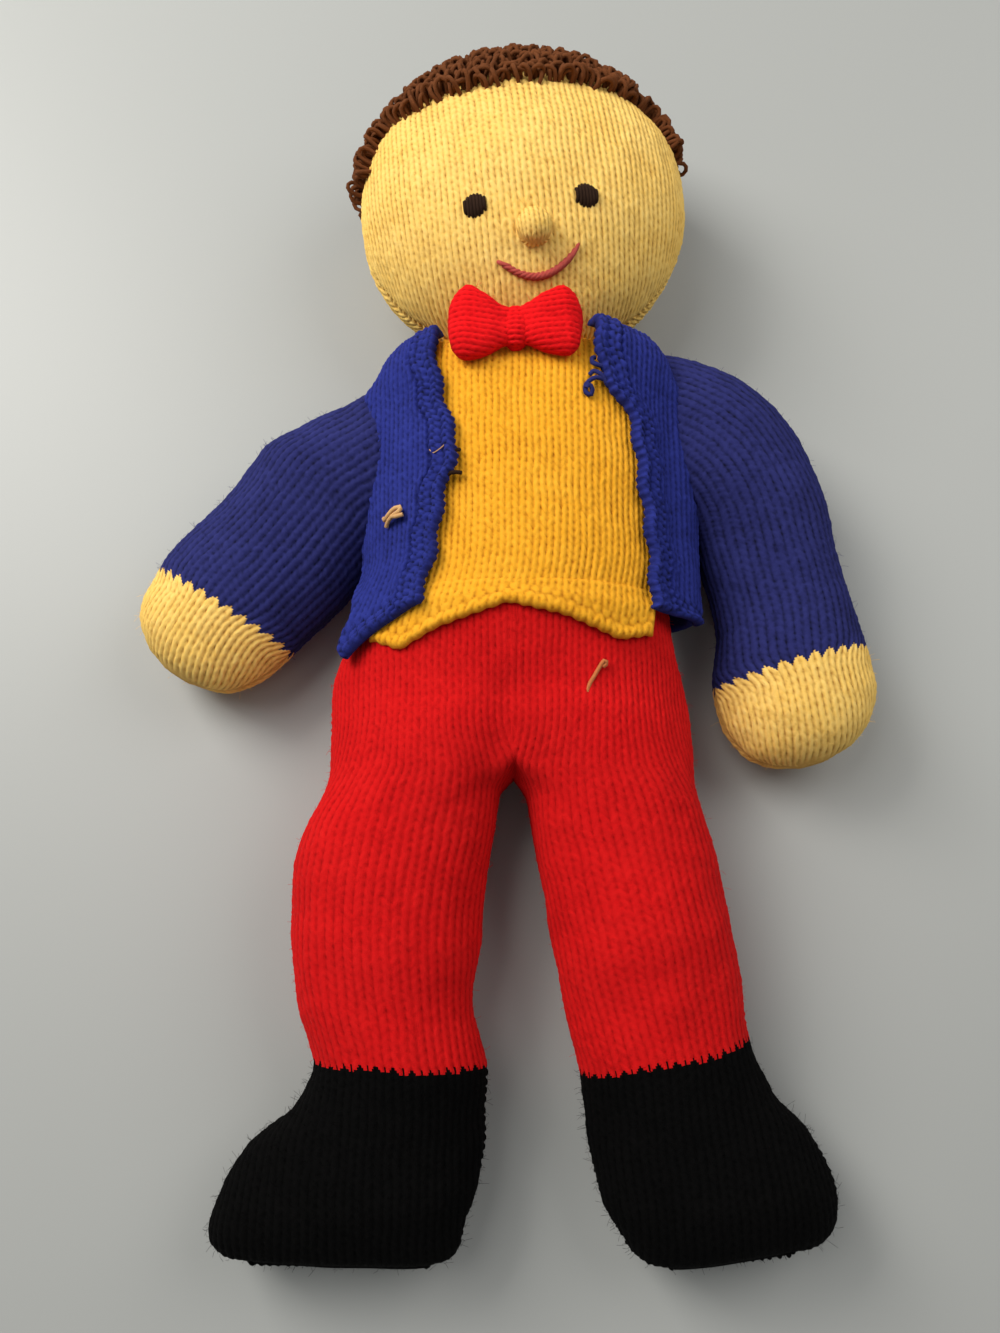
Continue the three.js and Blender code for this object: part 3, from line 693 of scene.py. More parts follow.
# Each yarn's painted shade between stitches, its colour over most of it, painted highlight on
# crowns
CREAM = yarn("cream_yarn", (150, 90, 22), (244, 196, 94), (252, 222, 140))
CHESTNUT = yarn("chestnut_yarn", (38, 18, 8), (92, 50, 24), (128, 76, 42))
BROWN = yarn("brown_yarn", (16, 9, 6), (38, 23, 15), (62, 42, 30))
ROSE = yarn("rose_yarn", (100, 30, 26), (168, 66, 58), (196, 98, 88))
YELLOW = yarn("yellow_yarn", (150, 78, 4), (235, 162, 30), (250, 186, 58))
RED = yarn("red_yarn", (152, 2, 4), (201, 11, 14), (222, 28, 26), sheen=0.05)
SCARLET = yarn("scarlet_yarn", (150, 1, 4), (226, 10, 18), (240, 26, 28), sheen=0.05)
BLUE = yarn("blue_yarn", (4, 5, 22), (34, 42, 118), (50, 60, 146), sheen=0.04)
# A darker copy of the blue yarn: painted shade, for the sleeves and the lapel's frayed ends
SHADED_BLUE = yarn("shaded_blue_yarn", (4, 4, 16), (34, 37, 90), (52, 56, 120), sheen=0.04)
BLACK = yarn("black_yarn", (1, 1, 1), (5, 5, 5), (12, 11, 11), sheen=0.01, shine=0.06)
RUST = yarn("rust_yarn", (104, 44, 20), (186, 104, 58), (210, 136, 86))
TAN = yarn("tan_yarn", (116, 76, 42), (200, 150, 96), (226, 186, 132))


# Body form

BODY_TOP = 129.45
BODY_FORM = [
    # level, x, z, width, depth, squareness
    (-60, HIP_SWAY, HIP_Z, HIP_WIDTH, HIP_DEPTH, 2),
    (-40, HIP_SWAY, HIP_Z, HIP_WIDTH, HIP_DEPTH, 2),
    (-20, HIP_SWAY, (CHEST_Z + HIP_Z) / 2, mix(TORSO_WIDTH, HIP_WIDTH, 0.7),
     mix(TORSO_DEPTH, HIP_DEPTH, 0.6), 2),
    (0, (TORSO_SWAY + HIP_SWAY) / 2, CHEST_Z, mix(TORSO_WIDTH, HIP_WIDTH, 0.08),
     TORSO_DEPTH * 0.98, 2),
] + [
    (level, TORSO_SWAY, CHEST_Z, width, depth, square) for level, width, depth, square in (
        (25.6, TORSO_WIDTH * 0.985, TORSO_DEPTH, 2),
        (60.16, TORSO_WIDTH, TORSO_DEPTH, 2.05),
        (96, TORSO_WIDTH * 0.985, TORSO_DEPTH * 0.97, 2.2),
        (106, 131, 80.5, 2.4), (114, 129, 77.5, 2.4), (120, 125, 72.5, 2.4),
        (124, 118.5, 66, 2.4), (127, 108, 57, 2.4), (128.6, 95, 47, 2.4), (129.5, 72, 30, 2.4),
    )
]


def body_sections(levels, grow=0.0):
    x, z, width, depth, square = shaped(BODY_FORM, levels)
    return sections_of(x, levels, z, width + 2 * grow, depth + 2 * grow, 0, square)


BODY_LEVELS = np.arange(-HIP_LENGTH, BODY_TOP, 0.05)
BODY_SIZES = shaped(BODY_FORM, BODY_LEVELS)[2:4].sum(axis=0) / 4
BODY_RUN = np.concatenate([[0], np.cumsum(np.hypot(np.diff(BODY_LEVELS), np.diff(BODY_SIZES)))])


def run_at(level):
    """Distance along the body's surface from the hips up to a level."""
    return np.interp(level, BODY_LEVELS, BODY_RUN)


def level_at(run):
    return np.interp(run, BODY_RUN, BODY_LEVELS)


class BodySurface:
    """Points and outward directions on the body, by the distance round it from the front's middle
    and the height above the waist. Distances past the sides run on over the back."""

    STEP = 1.0
    REACH = 170

    def __init__(self):
        self.levels = level_at(np.arange(0, BODY_RUN[-1], self.STEP))
        halves = halves_of(body_sections(self.levels))
        facing = [-n for n in outward(*halves)]
        start = HALF_RING // 2
        tables = []
        for side in (-1, 1):
            line, normal = (
                np.concatenate([f[:, ::side][:, start:], b[:, ::-side][:, 1:start + 1]], axis=1)
                for f, b in (halves, facing)
            )
            arc = arc_of(line)
            both = np.concatenate([line, normal], axis=2)
            grid = np.arange(0, self.REACH + 1, self.STEP)
            tables.append(np.stack([read_along(grid, a, row) for a, row in zip(arc, both)]))
        self.table = np.concatenate([tables[0][:, :0:-1], tables[1]], axis=1)
        self.to_side, self.to_back = arc[:, start], arc[:, -1]

    def at(self, u, y):
        row = np.clip(run_at(y) / self.STEP, 0, len(self.levels) - 1.001)
        most = self.REACH - 0.001
        column = np.clip(u / self.STEP, -most, most) + self.REACH
        i, j = row.astype(int), column.astype(int)
        f, g = (row - i)[..., None], (column - j)[..., None]
        low, high = (mix(self.table[k, j], self.table[k, j + 1], g) for k in (i, i + 1))
        found = mix(low, high, f)
        return found[..., :3], found[..., 3:]

    def side_seam(self, y):
        """Distance from the front's middle to a side seam."""
        return np.interp(y, self.levels, self.to_side)

    def back_middle(self, y):
        return np.interp(y, self.levels, self.to_back)

    def round_to(self, x, y):
        """Distance round the body to points of the front that lie x from the front's middle."""
        width, depth, square = shaped(BODY_FORM, y)[2:]
        angle = np.linspace(0, math.pi / 2, 181)
        s, c = np.sin(angle), np.clip(np.cos(angle), 0, 1)
        out = []
        for w, d, n, target in zip(width / 2, depth / 2, square, x):
            line = np.stack([w * s ** (2 / n), d * c ** (2 / n)], axis=-1)
            out.append(np.sign(target) * np.interp(abs(target), line[:, 0], run_of(line)))
        return np.array(out)


BODY = BodySurface()


def rows_of(start, end, course):
    """Places of a panel's rows of points along a run."""
    return np.linspace(start, end, int(round(abs(end - start) / course * ALONG)) + 1)


def between(values, rows, columns, shape):
    """Values on a coarse grid of rows and columns, spread smoothly over a fine one."""
    tall = read_along(np.arange(shape[0]), rows, values.reshape(len(rows), -1))
    tall = tall.reshape(shape[0], len(columns), 3)
    wide = np.stack([read_along(np.arange(shape[1]), columns, row) for row in tall])
    return softened(softened(wide, 3).swapaxes(0, 1), 2).swapaxes(0, 1)


def pressed_out(front, back, most, loose):
    """A form's halves after the wadding has pressed on the cloth. A coarse copy of the form is
    blown out as cloth with its seams held, and the form takes on its bulges, scaled row by row
    by loose."""
    fine_rows, fine_columns = front.shape[:2]
    coarse_rows = max(9, fine_rows // CLOTH_EVERY)
    rows = np.linspace(0, fine_rows - 1, coarse_rows).round().astype(int)
    columns = np.linspace(0, fine_columns - 1, CLOTH_COLUMNS).round().astype(int)
    ring = np.concatenate([front[rows][:, columns], back[rows][:, columns[-2:0:-1]]], axis=1)
    tall, around = ring.shape[:2]
    corner = np.arange(tall * around).reshape(tall, around)
    aside = np.roll(corner, -1, axis=1)
    faces = np.stack([corner[:-1], corner[1:], aside[1:], aside[:-1]], axis=-1).reshape(-1, 4)
    mesh = bpy.data.meshes.new("trial")
    mesh.from_pydata((ring.reshape(-1, 3) * MM).tolist(), [], faces.tolist())
    obj = bpy.data.objects.new("trial", mesh)
    scene = bpy.context.scene
    scene.collection.objects.link(obj)
    held = obj.vertex_groups.new(name="held")
    held.add(np.unique(np.concatenate([
        corner[[0, -1]].ravel(), corner[:, 0], corner[:, CLOTH_COLUMNS - 1]
    ])).tolist(), 1.0, "REPLACE")
    cloth = obj.modifiers.new("cloth", "CLOTH")
    for key, value in CLOTH_SETTINGS.items():
        setattr(cloth.settings, key, value)
    cloth.settings.effector_weights.gravity = 0
    cloth.point_cache.frame_end = CLOTH_FRAMES
    for now in range(1, CLOTH_FRAMES + 1):
        scene.frame_set(now)
    blown = obj.evaluated_get(bpy.context.evaluated_depsgraph_get()).data
    after = np.empty(tall * around * 3)
    blown.vertices.foreach_get("co", after)
    scene.frame_set(1)
    bpy.data.objects.remove(obj)
    bpy.data.meshes.remove(mesh)
    move = after.reshape(ring.shape) / MM - ring
    size = np.linalg.norm(move, axis=2, keepdims=True)
    move = move * most * np.tanh(size / most) / np.maximum(size, 1e-6)
    parts = (front, move[:, :CLOTH_COLUMNS]), (back, behind(move, CLOTH_COLUMNS))
    return [
        half + between(part, rows, columns, half.shape[:2]) * loose[:, None, None]
        for half, part in parts
    ]


def stuffed(name, halves, stitch, finishes, along, zero=None, change=None, seed=1, swell=1.2,
            seam=0.9, relief=1.25, knit=stocking, puff=0.0, loose=1.0, ragged=0.0):
    """A stuffed tube of two knitted halves that meet at its sides, and its front's outward
    directions. along is the place of each row on the run, measured from where the yarn changes."""
    count = len(along)
    if puff:
        halves = pressed_out(*halves, puff, np.broadcast_to(loose, count))
    front = halves[0]
    facing = outward(*halves)
    middle = (front[:, 0] + front[:, -1]) / 2
    pitch, course = stitch
    row = np.arange(count)
    quiet = ease(0, 2, row) * ease(0, 4, count - 1 - row)
    parts = []
    for label, line, normal in zip(("front", "back"), halves, facing):
        start = arc_of(line)[:, -1] / 2 if zero is None else zero(line)
        grid = knit_grid(
            line, normal, start, along / course, pitch, knit, seam, swell, seed, quiet, relief
        )
        for key, values in grid.items():
            ends = [np.array(values[:1]), np.array(values[-1:])]
            if key == "points":
                for end, point in zip(ends, (middle[0], middle[-1])):
                    end[:] = point
                    end[..., 2] = max(point[2], LEAST_Z)
            grid[key] = np.concatenate([ends[0], values, ends[1]])
        parts.append(lay_grid(f"{name}_{label}", grid, change, knit, ragged))
    return sewn(name, parts, finishes), facing[0]


def oversewing(name, line, normal, finish, pitch=3.6, reach=2.4, thick=1.5):
    """Short stitches that lie slanted over a seam."""
    arc = run_of(line)
    rng = np.random.default_rng(len(name))
    at = np.arange(pitch / 2, arc[-1], pitch)
    at = at + rng.uniform(-0.12, 0.12, len(at)) * pitch
    seat = read_along(at, arc, line)
    ahead = unit(read_along(at + 1, arc, line) - seat)
    out = unit(read_along(at, arc, normal))
    side = np.cross(ahead, out)
    t = np.linspace(-1, 1, 6)[:, None]
    lines = []
    for p, a, o, s in zip(seat, ahead, out, side):
        bend = p + s * reach * t + a * pitch * 0.42 * t + o * (0.5 - 2.2 * t * t)
        bend[:, 2] = np.maximum(bend[:, 2], thick * 0.5)
        lines.append(bend)
    return strands(name, lines, thick, finish)


# Pieces


def waistcoat():
    runs = rows_of(run_at(WAISTCOAT_TOP), run_at(WAISTCOAT_END), VEST_STITCH[1])
    levels = level_at(runs)
    sections = body_sections(levels, -WAISTCOAT_TUCK * ease(6, -4, levels))
    obj, _ = stuffed(
        "waistcoat", halves_of(sections), VEST_STITCH, [YELLOW], runs[0] - runs, seed=3, swell=0.7,
        seam=0.2,
    )
    nodes = ("waistcoat_front", "waistcoat_back", "body_wadding")
    dressed(obj, "torso", "yellow_yarn", *nodes, fill=0.75)


def leg_line(leg, s):
    """Middle line of a leg and its turn: down the leg's lean, then along the boot."""
    run, boot = np.clip(s, 0, LEG_LENGTH), np.maximum(s - LEG_LENGTH, 0)
    bowed = leg["bow"] * np.sin(math.pi * (run / LEG_LENGTH))
    lean, foot, side = leg["lean"], leg["foot"], leg["side"]
    out = run * math.sin(lean) + bowed * math.cos(lean) + boot * math.sin(foot)
    down = np.minimum(s, 0) + run * math.cos(lean) - bowed * math.sin(lean) + boot * math.cos(foot)
    turn = lean * ease(-10, 25, s) + (foot - lean) * ease(LEG_LENGTH - 12, LEG_LENGTH + 25, s)
    return HIP_SWAY + side * (HIP_WIDTH / 4 + 0.3 + out), LEG_TOP - down, side * turn


def leg_sections(leg, s):
    gap, thigh, ankle, boot, sole = (leg[k] for k in ("gap", "thigh", "ankle", "boot", "sole"))
    slim, tip = leg["slim"], leg["tip"]
    toe = (sole - ankle) / 2
    half = HIP_WIDTH / 2 - 0.6
    top = HIP_DEPTH - 1
    calf = (mix(thigh, ankle, 0.35), mix(LEG_DEPTH, ANKLE_DEPTH, 0.6))
    cuff = (mix(ankle, sole, 0.2), mix(ANKLE_DEPTH, BOOT_DEPTH, 0.6))
    rows = [
        # place, outward shift, width, depth, level, squareness
        (-27.7, 0, half, top, HIP_Z + 0.5, 2.7),
        (2, gap / 2, half - gap, mix(top, LEG_DEPTH, 0.6), mix(HIP_Z, LEG_Z, 0.6) + 0.5, 3.2),
        (FOLD_BELOW, 1.5 + slim[0] / 2, thigh - 2 - slim[0], LEG_DEPTH + 1, LEG_Z + 0.5, 2.8),
        (LEG_LENGTH * 0.55, slim[1] / 2, thigh - slim[1], LEG_DEPTH, LEG_Z, 2),
        (LEG_LENGTH * 0.8, slim[2] / 2, calf[0] - slim[2], calf[1], calf[1] / 2 - 0.5, 2),
        (LEG_LENGTH, 0, ankle, ANKLE_DEPTH, ANKLE_DEPTH / 2 - 0.5, 2),
        (LEG_LENGTH + boot * 0.22, toe * 0.25, cuff[0], cuff[1], cuff[1] / 2 - 0.5, 2),
        (LEG_LENGTH + boot * 0.43, toe * 0.85, mix(ankle, sole, 0.8), BOOT_DEPTH, BOOT_Z, 2.2),
        (LEG_LENGTH + boot * 0.66, toe * 1.3, sole, BOOT_DEPTH, BOOT_Z, 2.3),
        (LEG_LENGTH + boot * 0.85, toe * 1.55, sole * tip[0], BOOT_DEPTH * 0.84, BOOT_Z, 2.3),
        (LEG_LENGTH + boot * 0.96, toe * 1.5, sole * tip[1], BOOT_DEPTH * 0.55, BOOT_Z, 2.2),
        (LEG_LENGTH + boot, toe * 1.4, sole * tip[2], BOOT_DEPTH * 0.22, BOOT_Z, 2.2),
    ]
    shift, width, depth, level, square = shaped(rows, s)
    x, y, turn = leg_line(leg, s)
    x = x + leg["side"] * shift * np.cos(turn)
    y = y + leg["side"] * shift * np.sin(turn)
    return sections_of(x, y, level, width, depth, turn, square)


def seat_half(leg, levels, lower):
    """The hips' half round a leg, from its outer seam past the middle and down the inner wall."""
    x, z, width, depth, _ = shaped(BODY_FORM, levels)
    past, dip_deep, dip_wide, sink = 3.5, 7.0, 15, 4.5
    dips = ease(-22, -72, levels)
    quarter = np.cos(np.linspace(0, math.pi / 2, 60))
    lines = []
    for mid, level, y, w, d, dip in zip(x + 2.3 * dips, z, levels, width / 2, depth / 2, dips):
        out = np.concatenate([w * quarter, np.linspace(0, -past, 8)[1:]])
        rise = d * np.sqrt(np.clip(1 - (out / w) ** 2, 0, 1))
        rise = rise - dip_deep * dip * np.exp(-(out / dip_wide) ** 2)
        rise = rise - (np.clip(-out, 0, past) / past) ** 2
        rise = rise * (1 if lower else 1 - sink * ease(-40, -86, y) / d)
        rise[0] = 0
        wall = np.linspace(rise[-1], 0, 20)[1:]
        out = mid + leg["side"] * np.concatenate([out, np.full(wall.shape, -past)])
        rise = level + np.concatenate([rise, wall]) * (-1 if lower else 1)
        lines.append(np.stack([out, np.full(out.shape, y), rise], axis=-1))
    return np.stack(lines)


def trousers(leg):
    """A trouser leg with its boot and its half of the seat."""
    name, side = leg["name"], leg["side"]
    s = rows_of(TROUSERS_START, LEG_LENGTH + leg["boot"] + 0.6, LEG_STITCH[1])
    levels = LEG_TOP - s
    sections = leg_sections(leg, s)
    turns = np.linspace(0, 1, HALF_RING)[None, :]
    # The seat becomes leg slowly down the outer side and quickly at the inner side, left crisp
    inward = ease(0.46, 0.76, turns)
    share = ease(mix(-14, -60, inward), mix(-116, -76, inward), levels[:, None])[..., None]
    crisp = np.maximum(ease(30, 50, s)[:, None], ease(0.6, 0.74, turns))[..., None]
    halves = []
    for lower in (False, True):
        own = respaced(half_ring(sections, lower)[:, ::-side])
        line = mix(respaced(seat_half(leg, levels, lower)), own, share)
        halves.append(mix(softened(line, 5), line, crisp)[:, ::-side])
    front, back = halves
    back[:, 0], back[:, -1] = front[:, 0], front[:, -1]
    middle = np.stack(leg_line(leg, s)[:2], axis=-1)
    turn = sections[:, 5]
    axis = np.stack([np.cos(turn), np.sin(turn)], axis=-1)

    def zero(line):
        across = ((line[..., :2] - middle[:, None]) * axis[:, None]).sum(axis=2)
        across = np.maximum.accumulate(across, axis=1)
        return np.array([np.interp(0, a, r) for a, r in zip(across, arc_of(line))])

    pitch = mix(HIP_WALE, LEG_STITCH[0], ease(-22, 28, s))
    pitch = mix(pitch, BOOT_WALE, ease(80, LEG_LENGTH, s))
    obj, facing = stuffed(
        f"{name}_trousers", halves, (pitch, LEG_STITCH[1]), [RED, BLACK], s - LEG_LENGTH, zero=zero,
        change=0, seed=11, swell=1.1, seam=0.8, relief=0.95, puff=2.5, loose=ease(-45, -20, s),
        ragged=1.0,
    )
    fuzzy(obj, count=2200, seed=71, second=3.0)
    outer, inner = (0, -1)[::-side]
    upper, boot = (s > -30) & (s < LEG_LENGTH - 1), s > LEG_LENGTH
    stitches = []
    for label, rows, edge, finish in (
        ("leg", upper, outer, RED), ("boot", boot, outer, BLACK), ("boot", boot, inner, BLACK)
    ):
        out = facing[rows, edge]
        seam = front[rows, edge] - out * 0.9
        stitches.append(
            oversewing(f"{name}_{label}_seam_{edge}", seam, out, finish, pitch=SEAM_PITCH)
        )
    sole = front[-1] * 0.5 + back[-1] * 0.5
    down = np.tile((math.sin(turn[-1]), -math.cos(turn[-1]), 0.0), (HALF_RING, 1))
    sewing = oversewing(f"{name}_sole_seam", sole, down, BLACK, pitch=SEAM_PITCH, reach=3.2)
    stitches.append(sewing)
    joined([obj] + stitches)
    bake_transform(obj)
    nodes = ("hip_fold", "trouser_front", "trouser_back", "boot_front", "boot_back", "leg_wadding")
    dressed(obj, None, "red_yarn", leg["seat"], *[f"{name}_{n}" for n in nodes], fill=0.8)


def arm_line(arm, s):
    """Middle line of an arm and its turn: a curve out of the armhole, then straight on."""
    leave, end, top, side = (arm[k] for k in ("leave", "end", "top", "side"))
    curved = np.clip(s, 0, top)
    now = leave - (leave - end) * curved / top
    radius = top / (leave - end)
    out = radius * (np.cos(now) - math.cos(leave))
    down = radius * (math.sin(leave) - np.sin(now))
    straight, tucked = np.maximum(s - curved, 0), np.minimum(s, 0)
    out = out + straight * math.sin(end) + tucked * math.sin(leave)
    down = down + straight * math.cos(end) + tucked * math.cos(leave)
    x = TORSO_SWAY + side * (TORSO_WIDTH / 2 - ARM_TUCK + out)
    return x, ARM_SEAM_LEVEL - down, side * now


def sleeve_and_hand(arm):
    name, side, top = arm["name"], arm["side"], arm["top"]
    puff, hand, slim = arm["puff"], arm["hand"], arm["slim"]
    wrist = top + SLEEVE_LENGTH
    cuff = wrist + arm["cuff"]
    seam = (ARM_SEAM_WIDTH, ARM_SEAM_DEPTH)
    rows = [
        # place, outward puff, inward slimness, width, depth
        (-14, puff[0] * 0.5, 0, seam[0] * 0.6, seam[1] * 0.7),
        (0, puff[0], 0, seam[0] * 0.84, seam[1] * 0.9),
        (top * 0.3, puff[1], 0, seam[0] * 0.97, seam[1] * 1.3),
        (top * 0.65, puff[2], slim[0] * 0.5, mix(seam[0], ARM_WIDTH, 0.6),
         mix(seam[1], ARM_DEPTH, 0.8)),
        (top, puff[3], slim[0], ARM_WIDTH * 0.96, ARM_DEPTH * 0.97),
        (top + SLEEVE_LENGTH * 0.5, mix(puff[3], hand, 0.5) + 1, slim[1], ARM_WIDTH * 0.95,
         ARM_DEPTH),
        (wrist, hand, slim[2], ARM_WIDTH, ARM_DEPTH),
        (wrist + HAND_LENGTH * 0.35, hand * 0.5, slim[2], ARM_WIDTH * 0.98, ARM_DEPTH * 0.98),
        (wrist + HAND_LENGTH * 0.68, hand * 0.3, slim[2] * 0.5, ARM_WIDTH * 0.82, ARM_DEPTH * 0.85),
        (wrist + HAND_LENGTH * 0.92, 0, 0, ARM_WIDTH * 0.52, ARM_DEPTH * 0.58),
        (wrist + HAND_LENGTH * 1.03, 0, 0, ARM_WIDTH * 0.2, ARM_DEPTH * 0.22),
    ]
    s = rows_of(SLEEVE_START, rows[-1][0], HAND_STITCH[1])
    out, thin, width, depth = shaped(rows, s)
    width = width + out - thin
    out = out + thin
    x, y, turn = arm_line(arm, s)
    x, y = x + side * np.cos(turn) * out / 2, y + side * np.sin(turn) * out / 2
    turn = turn + arm["skew"] * ease(top * 0.5, wrist, s)
    level = mix(CHEST_Z, ARM_Z, ease(top * 0.2, wrist * 0.8, s))
    pitch = mix(SLEEVE_STITCH[0], HAND_STITCH[0], ease(-8, 8, s - cuff))
    courses = (s - cuff) / np.where(s < cuff, SLEEVE_STITCH[1], HAND_STITCH[1])
    # The sleeves take the darker copy of the blue yarn, painted shade
    obj, _ = stuffed(
        f"{name}_arm", halves_of(sections_of(x, y, level, width, depth, turn, 2)), (pitch, 1),
        [SHADED_BLUE, CREAM], courses, change=0, knit=upturned, seed=21 + side, seam=0.6, puff=2.5,
        loose=ease(0, 25, s),
    )
    fuzzy(obj, count=900, seed=73)
    out = TORSO_SWAY + side * (TORSO_WIDTH / 2 + ARM_SEAM_OUT)
    seam, run = np.array((out, ARM_SEAM_LEVEL, CHEST_Z)), np.array(arm["bend"])
    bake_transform(obj)
    nodes = ("sleeve_top", "sleeve", "hand", "arm_wadding")
    dressed(obj, None, "blue_yarn", *[f"{name}_{n}" for n in nodes], fill=0.7)


def knit_sheet(name, at, columns, levels, limits, finish, pattern, rise, gap=JACKET_GAP,
               thick=JACKET_THICK, relief=1.2):
    """A sheet of knitting lying on the body, with a rounded edge and a plain underside."""
    u, y, edge = limits(*np.meshgrid(columns, levels))
    points, out = at(u, y)
    height = pattern(*wandering(points, u, y, 60))
    inside = ease(0, EDGE_FADE, edge)
    round_in = np.sqrt(np.clip(1 - (1 - np.clip(edge / EDGE_ROUND, 0, 1)) ** 2, 0, 1))
    rolled = thick * (1 + 0.45 * np.exp(-((edge - EDGE_ROLL) / EDGE_ROUND) ** 2))
    middle = gap + rise(u, y) + 0.35 * lumps(points, 18, len(name)) + thick / 2
    outer = round_in * (rolled - thick / 2) + relief * (height - MEAN_HEIGHT) * inside
    parts = []
    # lift sets the painted shade and highlights: the stitch height on the outer side, an even
    # middle value underneath
    for label, move, least, lift in (
        ("outer", outer, LEAST_Z, mix(0.5, height, inside)),
        ("inner", -round_in * thick / 2, UNDERSIDE_Z, np.full(u.shape, 0.5)),
    ):
        moved = points + out * (middle + move)[..., None]
        moved[..., 2] = np.maximum(moved[..., 2], least)
        grid = {"points": moved, "u": u / VEST_STITCH[0], "v": -y / VEST_STITCH[1], "lift": lift}
        parts.append(lay_grid(f"{name}_{label}", grid))
    return sewn(name, parts, [finish])


def wales(low, high, pitch):
    """Places across a sheet of its columns of points."""
    first, last = math.floor(low / pitch * ACROSS) - 1, math.ceil(high / pitch * ACROSS) + 1
    return (np.arange(first, last) + 0.5) / ACROSS * pitch


def jacket_knit(u, y):
    return stocking(u / JACKET_STITCH[0], -run_at(y) / JACKET_STITCH[1])[0]


def bumpy_knit(u, v):
    return garter(u / BORDER_STITCH[0], v / BORDER_STITCH[1])[0]


def front_edge(front, y):
    """Distance round the body from the front's middle to a jacket front's edge."""
    wave = 0.9 * np.sin(y * 0.31 + front["side"]) + 0.5 * np.sin(y * 1.8)
    return BODY.round_to(shaped(front["edge"], y)[0] + wave, y)


def hem_line(front, distance):
    """A front's lower edge, which slants down from its corner to the side."""
    start = front_edge(front, np.array([float(front["hem"])]))[0]
    end = BODY.side_seam(0.0) + front["flare"]
    share = np.clip((distance - start) / (end - start), 0, 1)
    return mix(front["hem"], -front["corner"], share ** 1.35)


def spread_at(front, y, inset):
    """How far a front stands off the body near its side, where it lies over the sleeve."""
    low, high = front["spread"]
    return mix(low, high, ease(48, 76, y)) * ease(118, 104, y) * ease(26, 3, inset)


def jacket_rows(top, end):
    """Levels of a jacket piece's rows of points, from its top down."""
    return level_at(np.arange(run_at(top), run_at(end), -JACKET_STITCH[1] / ALONG))


def jacket_front(front):
    name, side, corner, flare = (front[k] for k in ("name", "side", "corner", "flare"))
    levels = jacket_rows(JACKET_TOP, -corner - 2)
    edge_rows = front_edge(front, levels)
    side_rows = BODY.side_seam(levels) + mix(SEAM_OVERLAP, flare, ease(28, -14, levels))
    drop = np.clip((CORNER_ROUND - corner - levels) / CORNER_ROUND, 0, 1)
    side_rows = side_rows - CORNER_ROUND * (1 - np.sqrt(1 - drop ** 2))
    band_rows = np.minimum(edge_rows + BORDER_WIDTH, side_rows)
    seam_rows = np.minimum(edge_rows + BORDER_WIDTH - SEAM_OVERLAP, side_rows - 0.5)

    def at_level(rows, y):
        return np.interp(-y, -levels, rows)

    def limited(inner, outer):
        def limits(u, y):
            distance = np.clip(side * u, at_level(inner, y), at_level(outer, y))
            low = hem_line(front, distance)
            y = np.maximum(y, low)
            near = np.minimum(distance - at_level(inner, y), at_level(outer, y) - distance)
            edge = np.minimum(np.minimum(near, y - low), JACKET_TOP - y)
            return side * distance, y, np.clip(edge, 0, None)
        return limits

    def fabric(u, y):
        low = y - hem_line(front, np.abs(u))
        return np.where(low < HEM_BAND, bumpy_knit(u, low), jacket_knit(u, y))

    def border(u, y):
        return bumpy_knit(run_at(y), np.abs(u) - at_level(edge_rows, y))

    def rise(u, y):
        inset = np.abs(u) - at_level(edge_rows, y)
        reach = at_level(side_rows, y) - np.abs(u)
        lifted = HEM_LIFT * ease(22, -4, y) + front["lift"] * ease(*COLLAR_LIFT, y)
        return BORDER_LIFT * ease(BORDER_WIDTH, 0, inset) + lifted + spread_at(front, y, reach)

    columns = wales(edge_rows.min(), side_rows.max(), JACKET_STITCH[0])
    cloth = knit_sheet(
        f"jacket_{name}_panel", BODY.at, np.sort(side * columns), levels,
        limited(seam_rows, side_rows), BLUE, fabric, rise, relief=1.4,
    )
    columns = wales(edge_rows.min(), band_rows.max(), BORDER_WALE)
    band = knit_sheet(
        f"jacket_{name}_edging", BODY.at, np.sort(side * columns), levels,
        limited(edge_rows, band_rows), BLUE, border, rise, gap=JACKET_GAP + 0.2,
        thick=JACKET_THICK + 0.6, relief=1.5,
    )
    for piece, node in ((cloth, f"jacket_{name}_front"), (band, f"jacket_{name}_border")):
        dressed(piece, "torso", "blue_yarn", node)
    widths = side_rows - edge_rows
    wide, long = float(np.max(widths)), float(run_at(JACKET_TOP) - run_at(-corner))
    area = float(np.mean(widths)) * (long - corner / 2)
    area * MM * MM


def jacket_back():
    levels = jacket_rows(BACK_TOP, BACK_END)
    halves = BODY.back_middle(levels) - BODY.side_seam(levels) + SEAM_OVERLAP

    def at(t, y):
        distance = np.maximum(BODY.back_middle(y) - np.abs(t), 0)
        return BODY.at(np.where(t < 0, -1, 1) * distance, y)

    def limits(u, y):
        half = np.interp(-y, -levels, halves)
        u = np.clip(u, -half, half)
        edge = np.minimum(np.minimum(half - np.abs(u), y - levels[-1]), BACK_TOP - y)
        return u, y, np.clip(edge, 0, None)

    def fabric(u, y):
        banded = (y < HEM_BAND) | (y > BACK_TOP - COLLAR_BAND)
        return np.where(banded, bumpy_knit(u, -run_at(y)), jacket_knit(u, y))

    def rise(u, y):
        inset = np.interp(-y, -levels, halves) - np.abs(u)
        right, left = (spread_at(front, y, inset) for front in (RIGHT_FRONT, LEFT_FRONT))
        lift = mix(RIGHT_FRONT["lift"], LEFT_FRONT["lift"], ease(-40, 40, u))
        return np.where(u < 0, right, left) + lift * ease(*COLLAR_LIFT, y)

    columns = wales(-halves.max(), halves.max(), JACKET_STITCH[0])
    cloth = knit_sheet("jacket_back_panel", at, columns, levels, limits, BLUE, fabric, rise)
    dressed(cloth, "torso", "blue_yarn", "jacket_back", "jacket_collar")


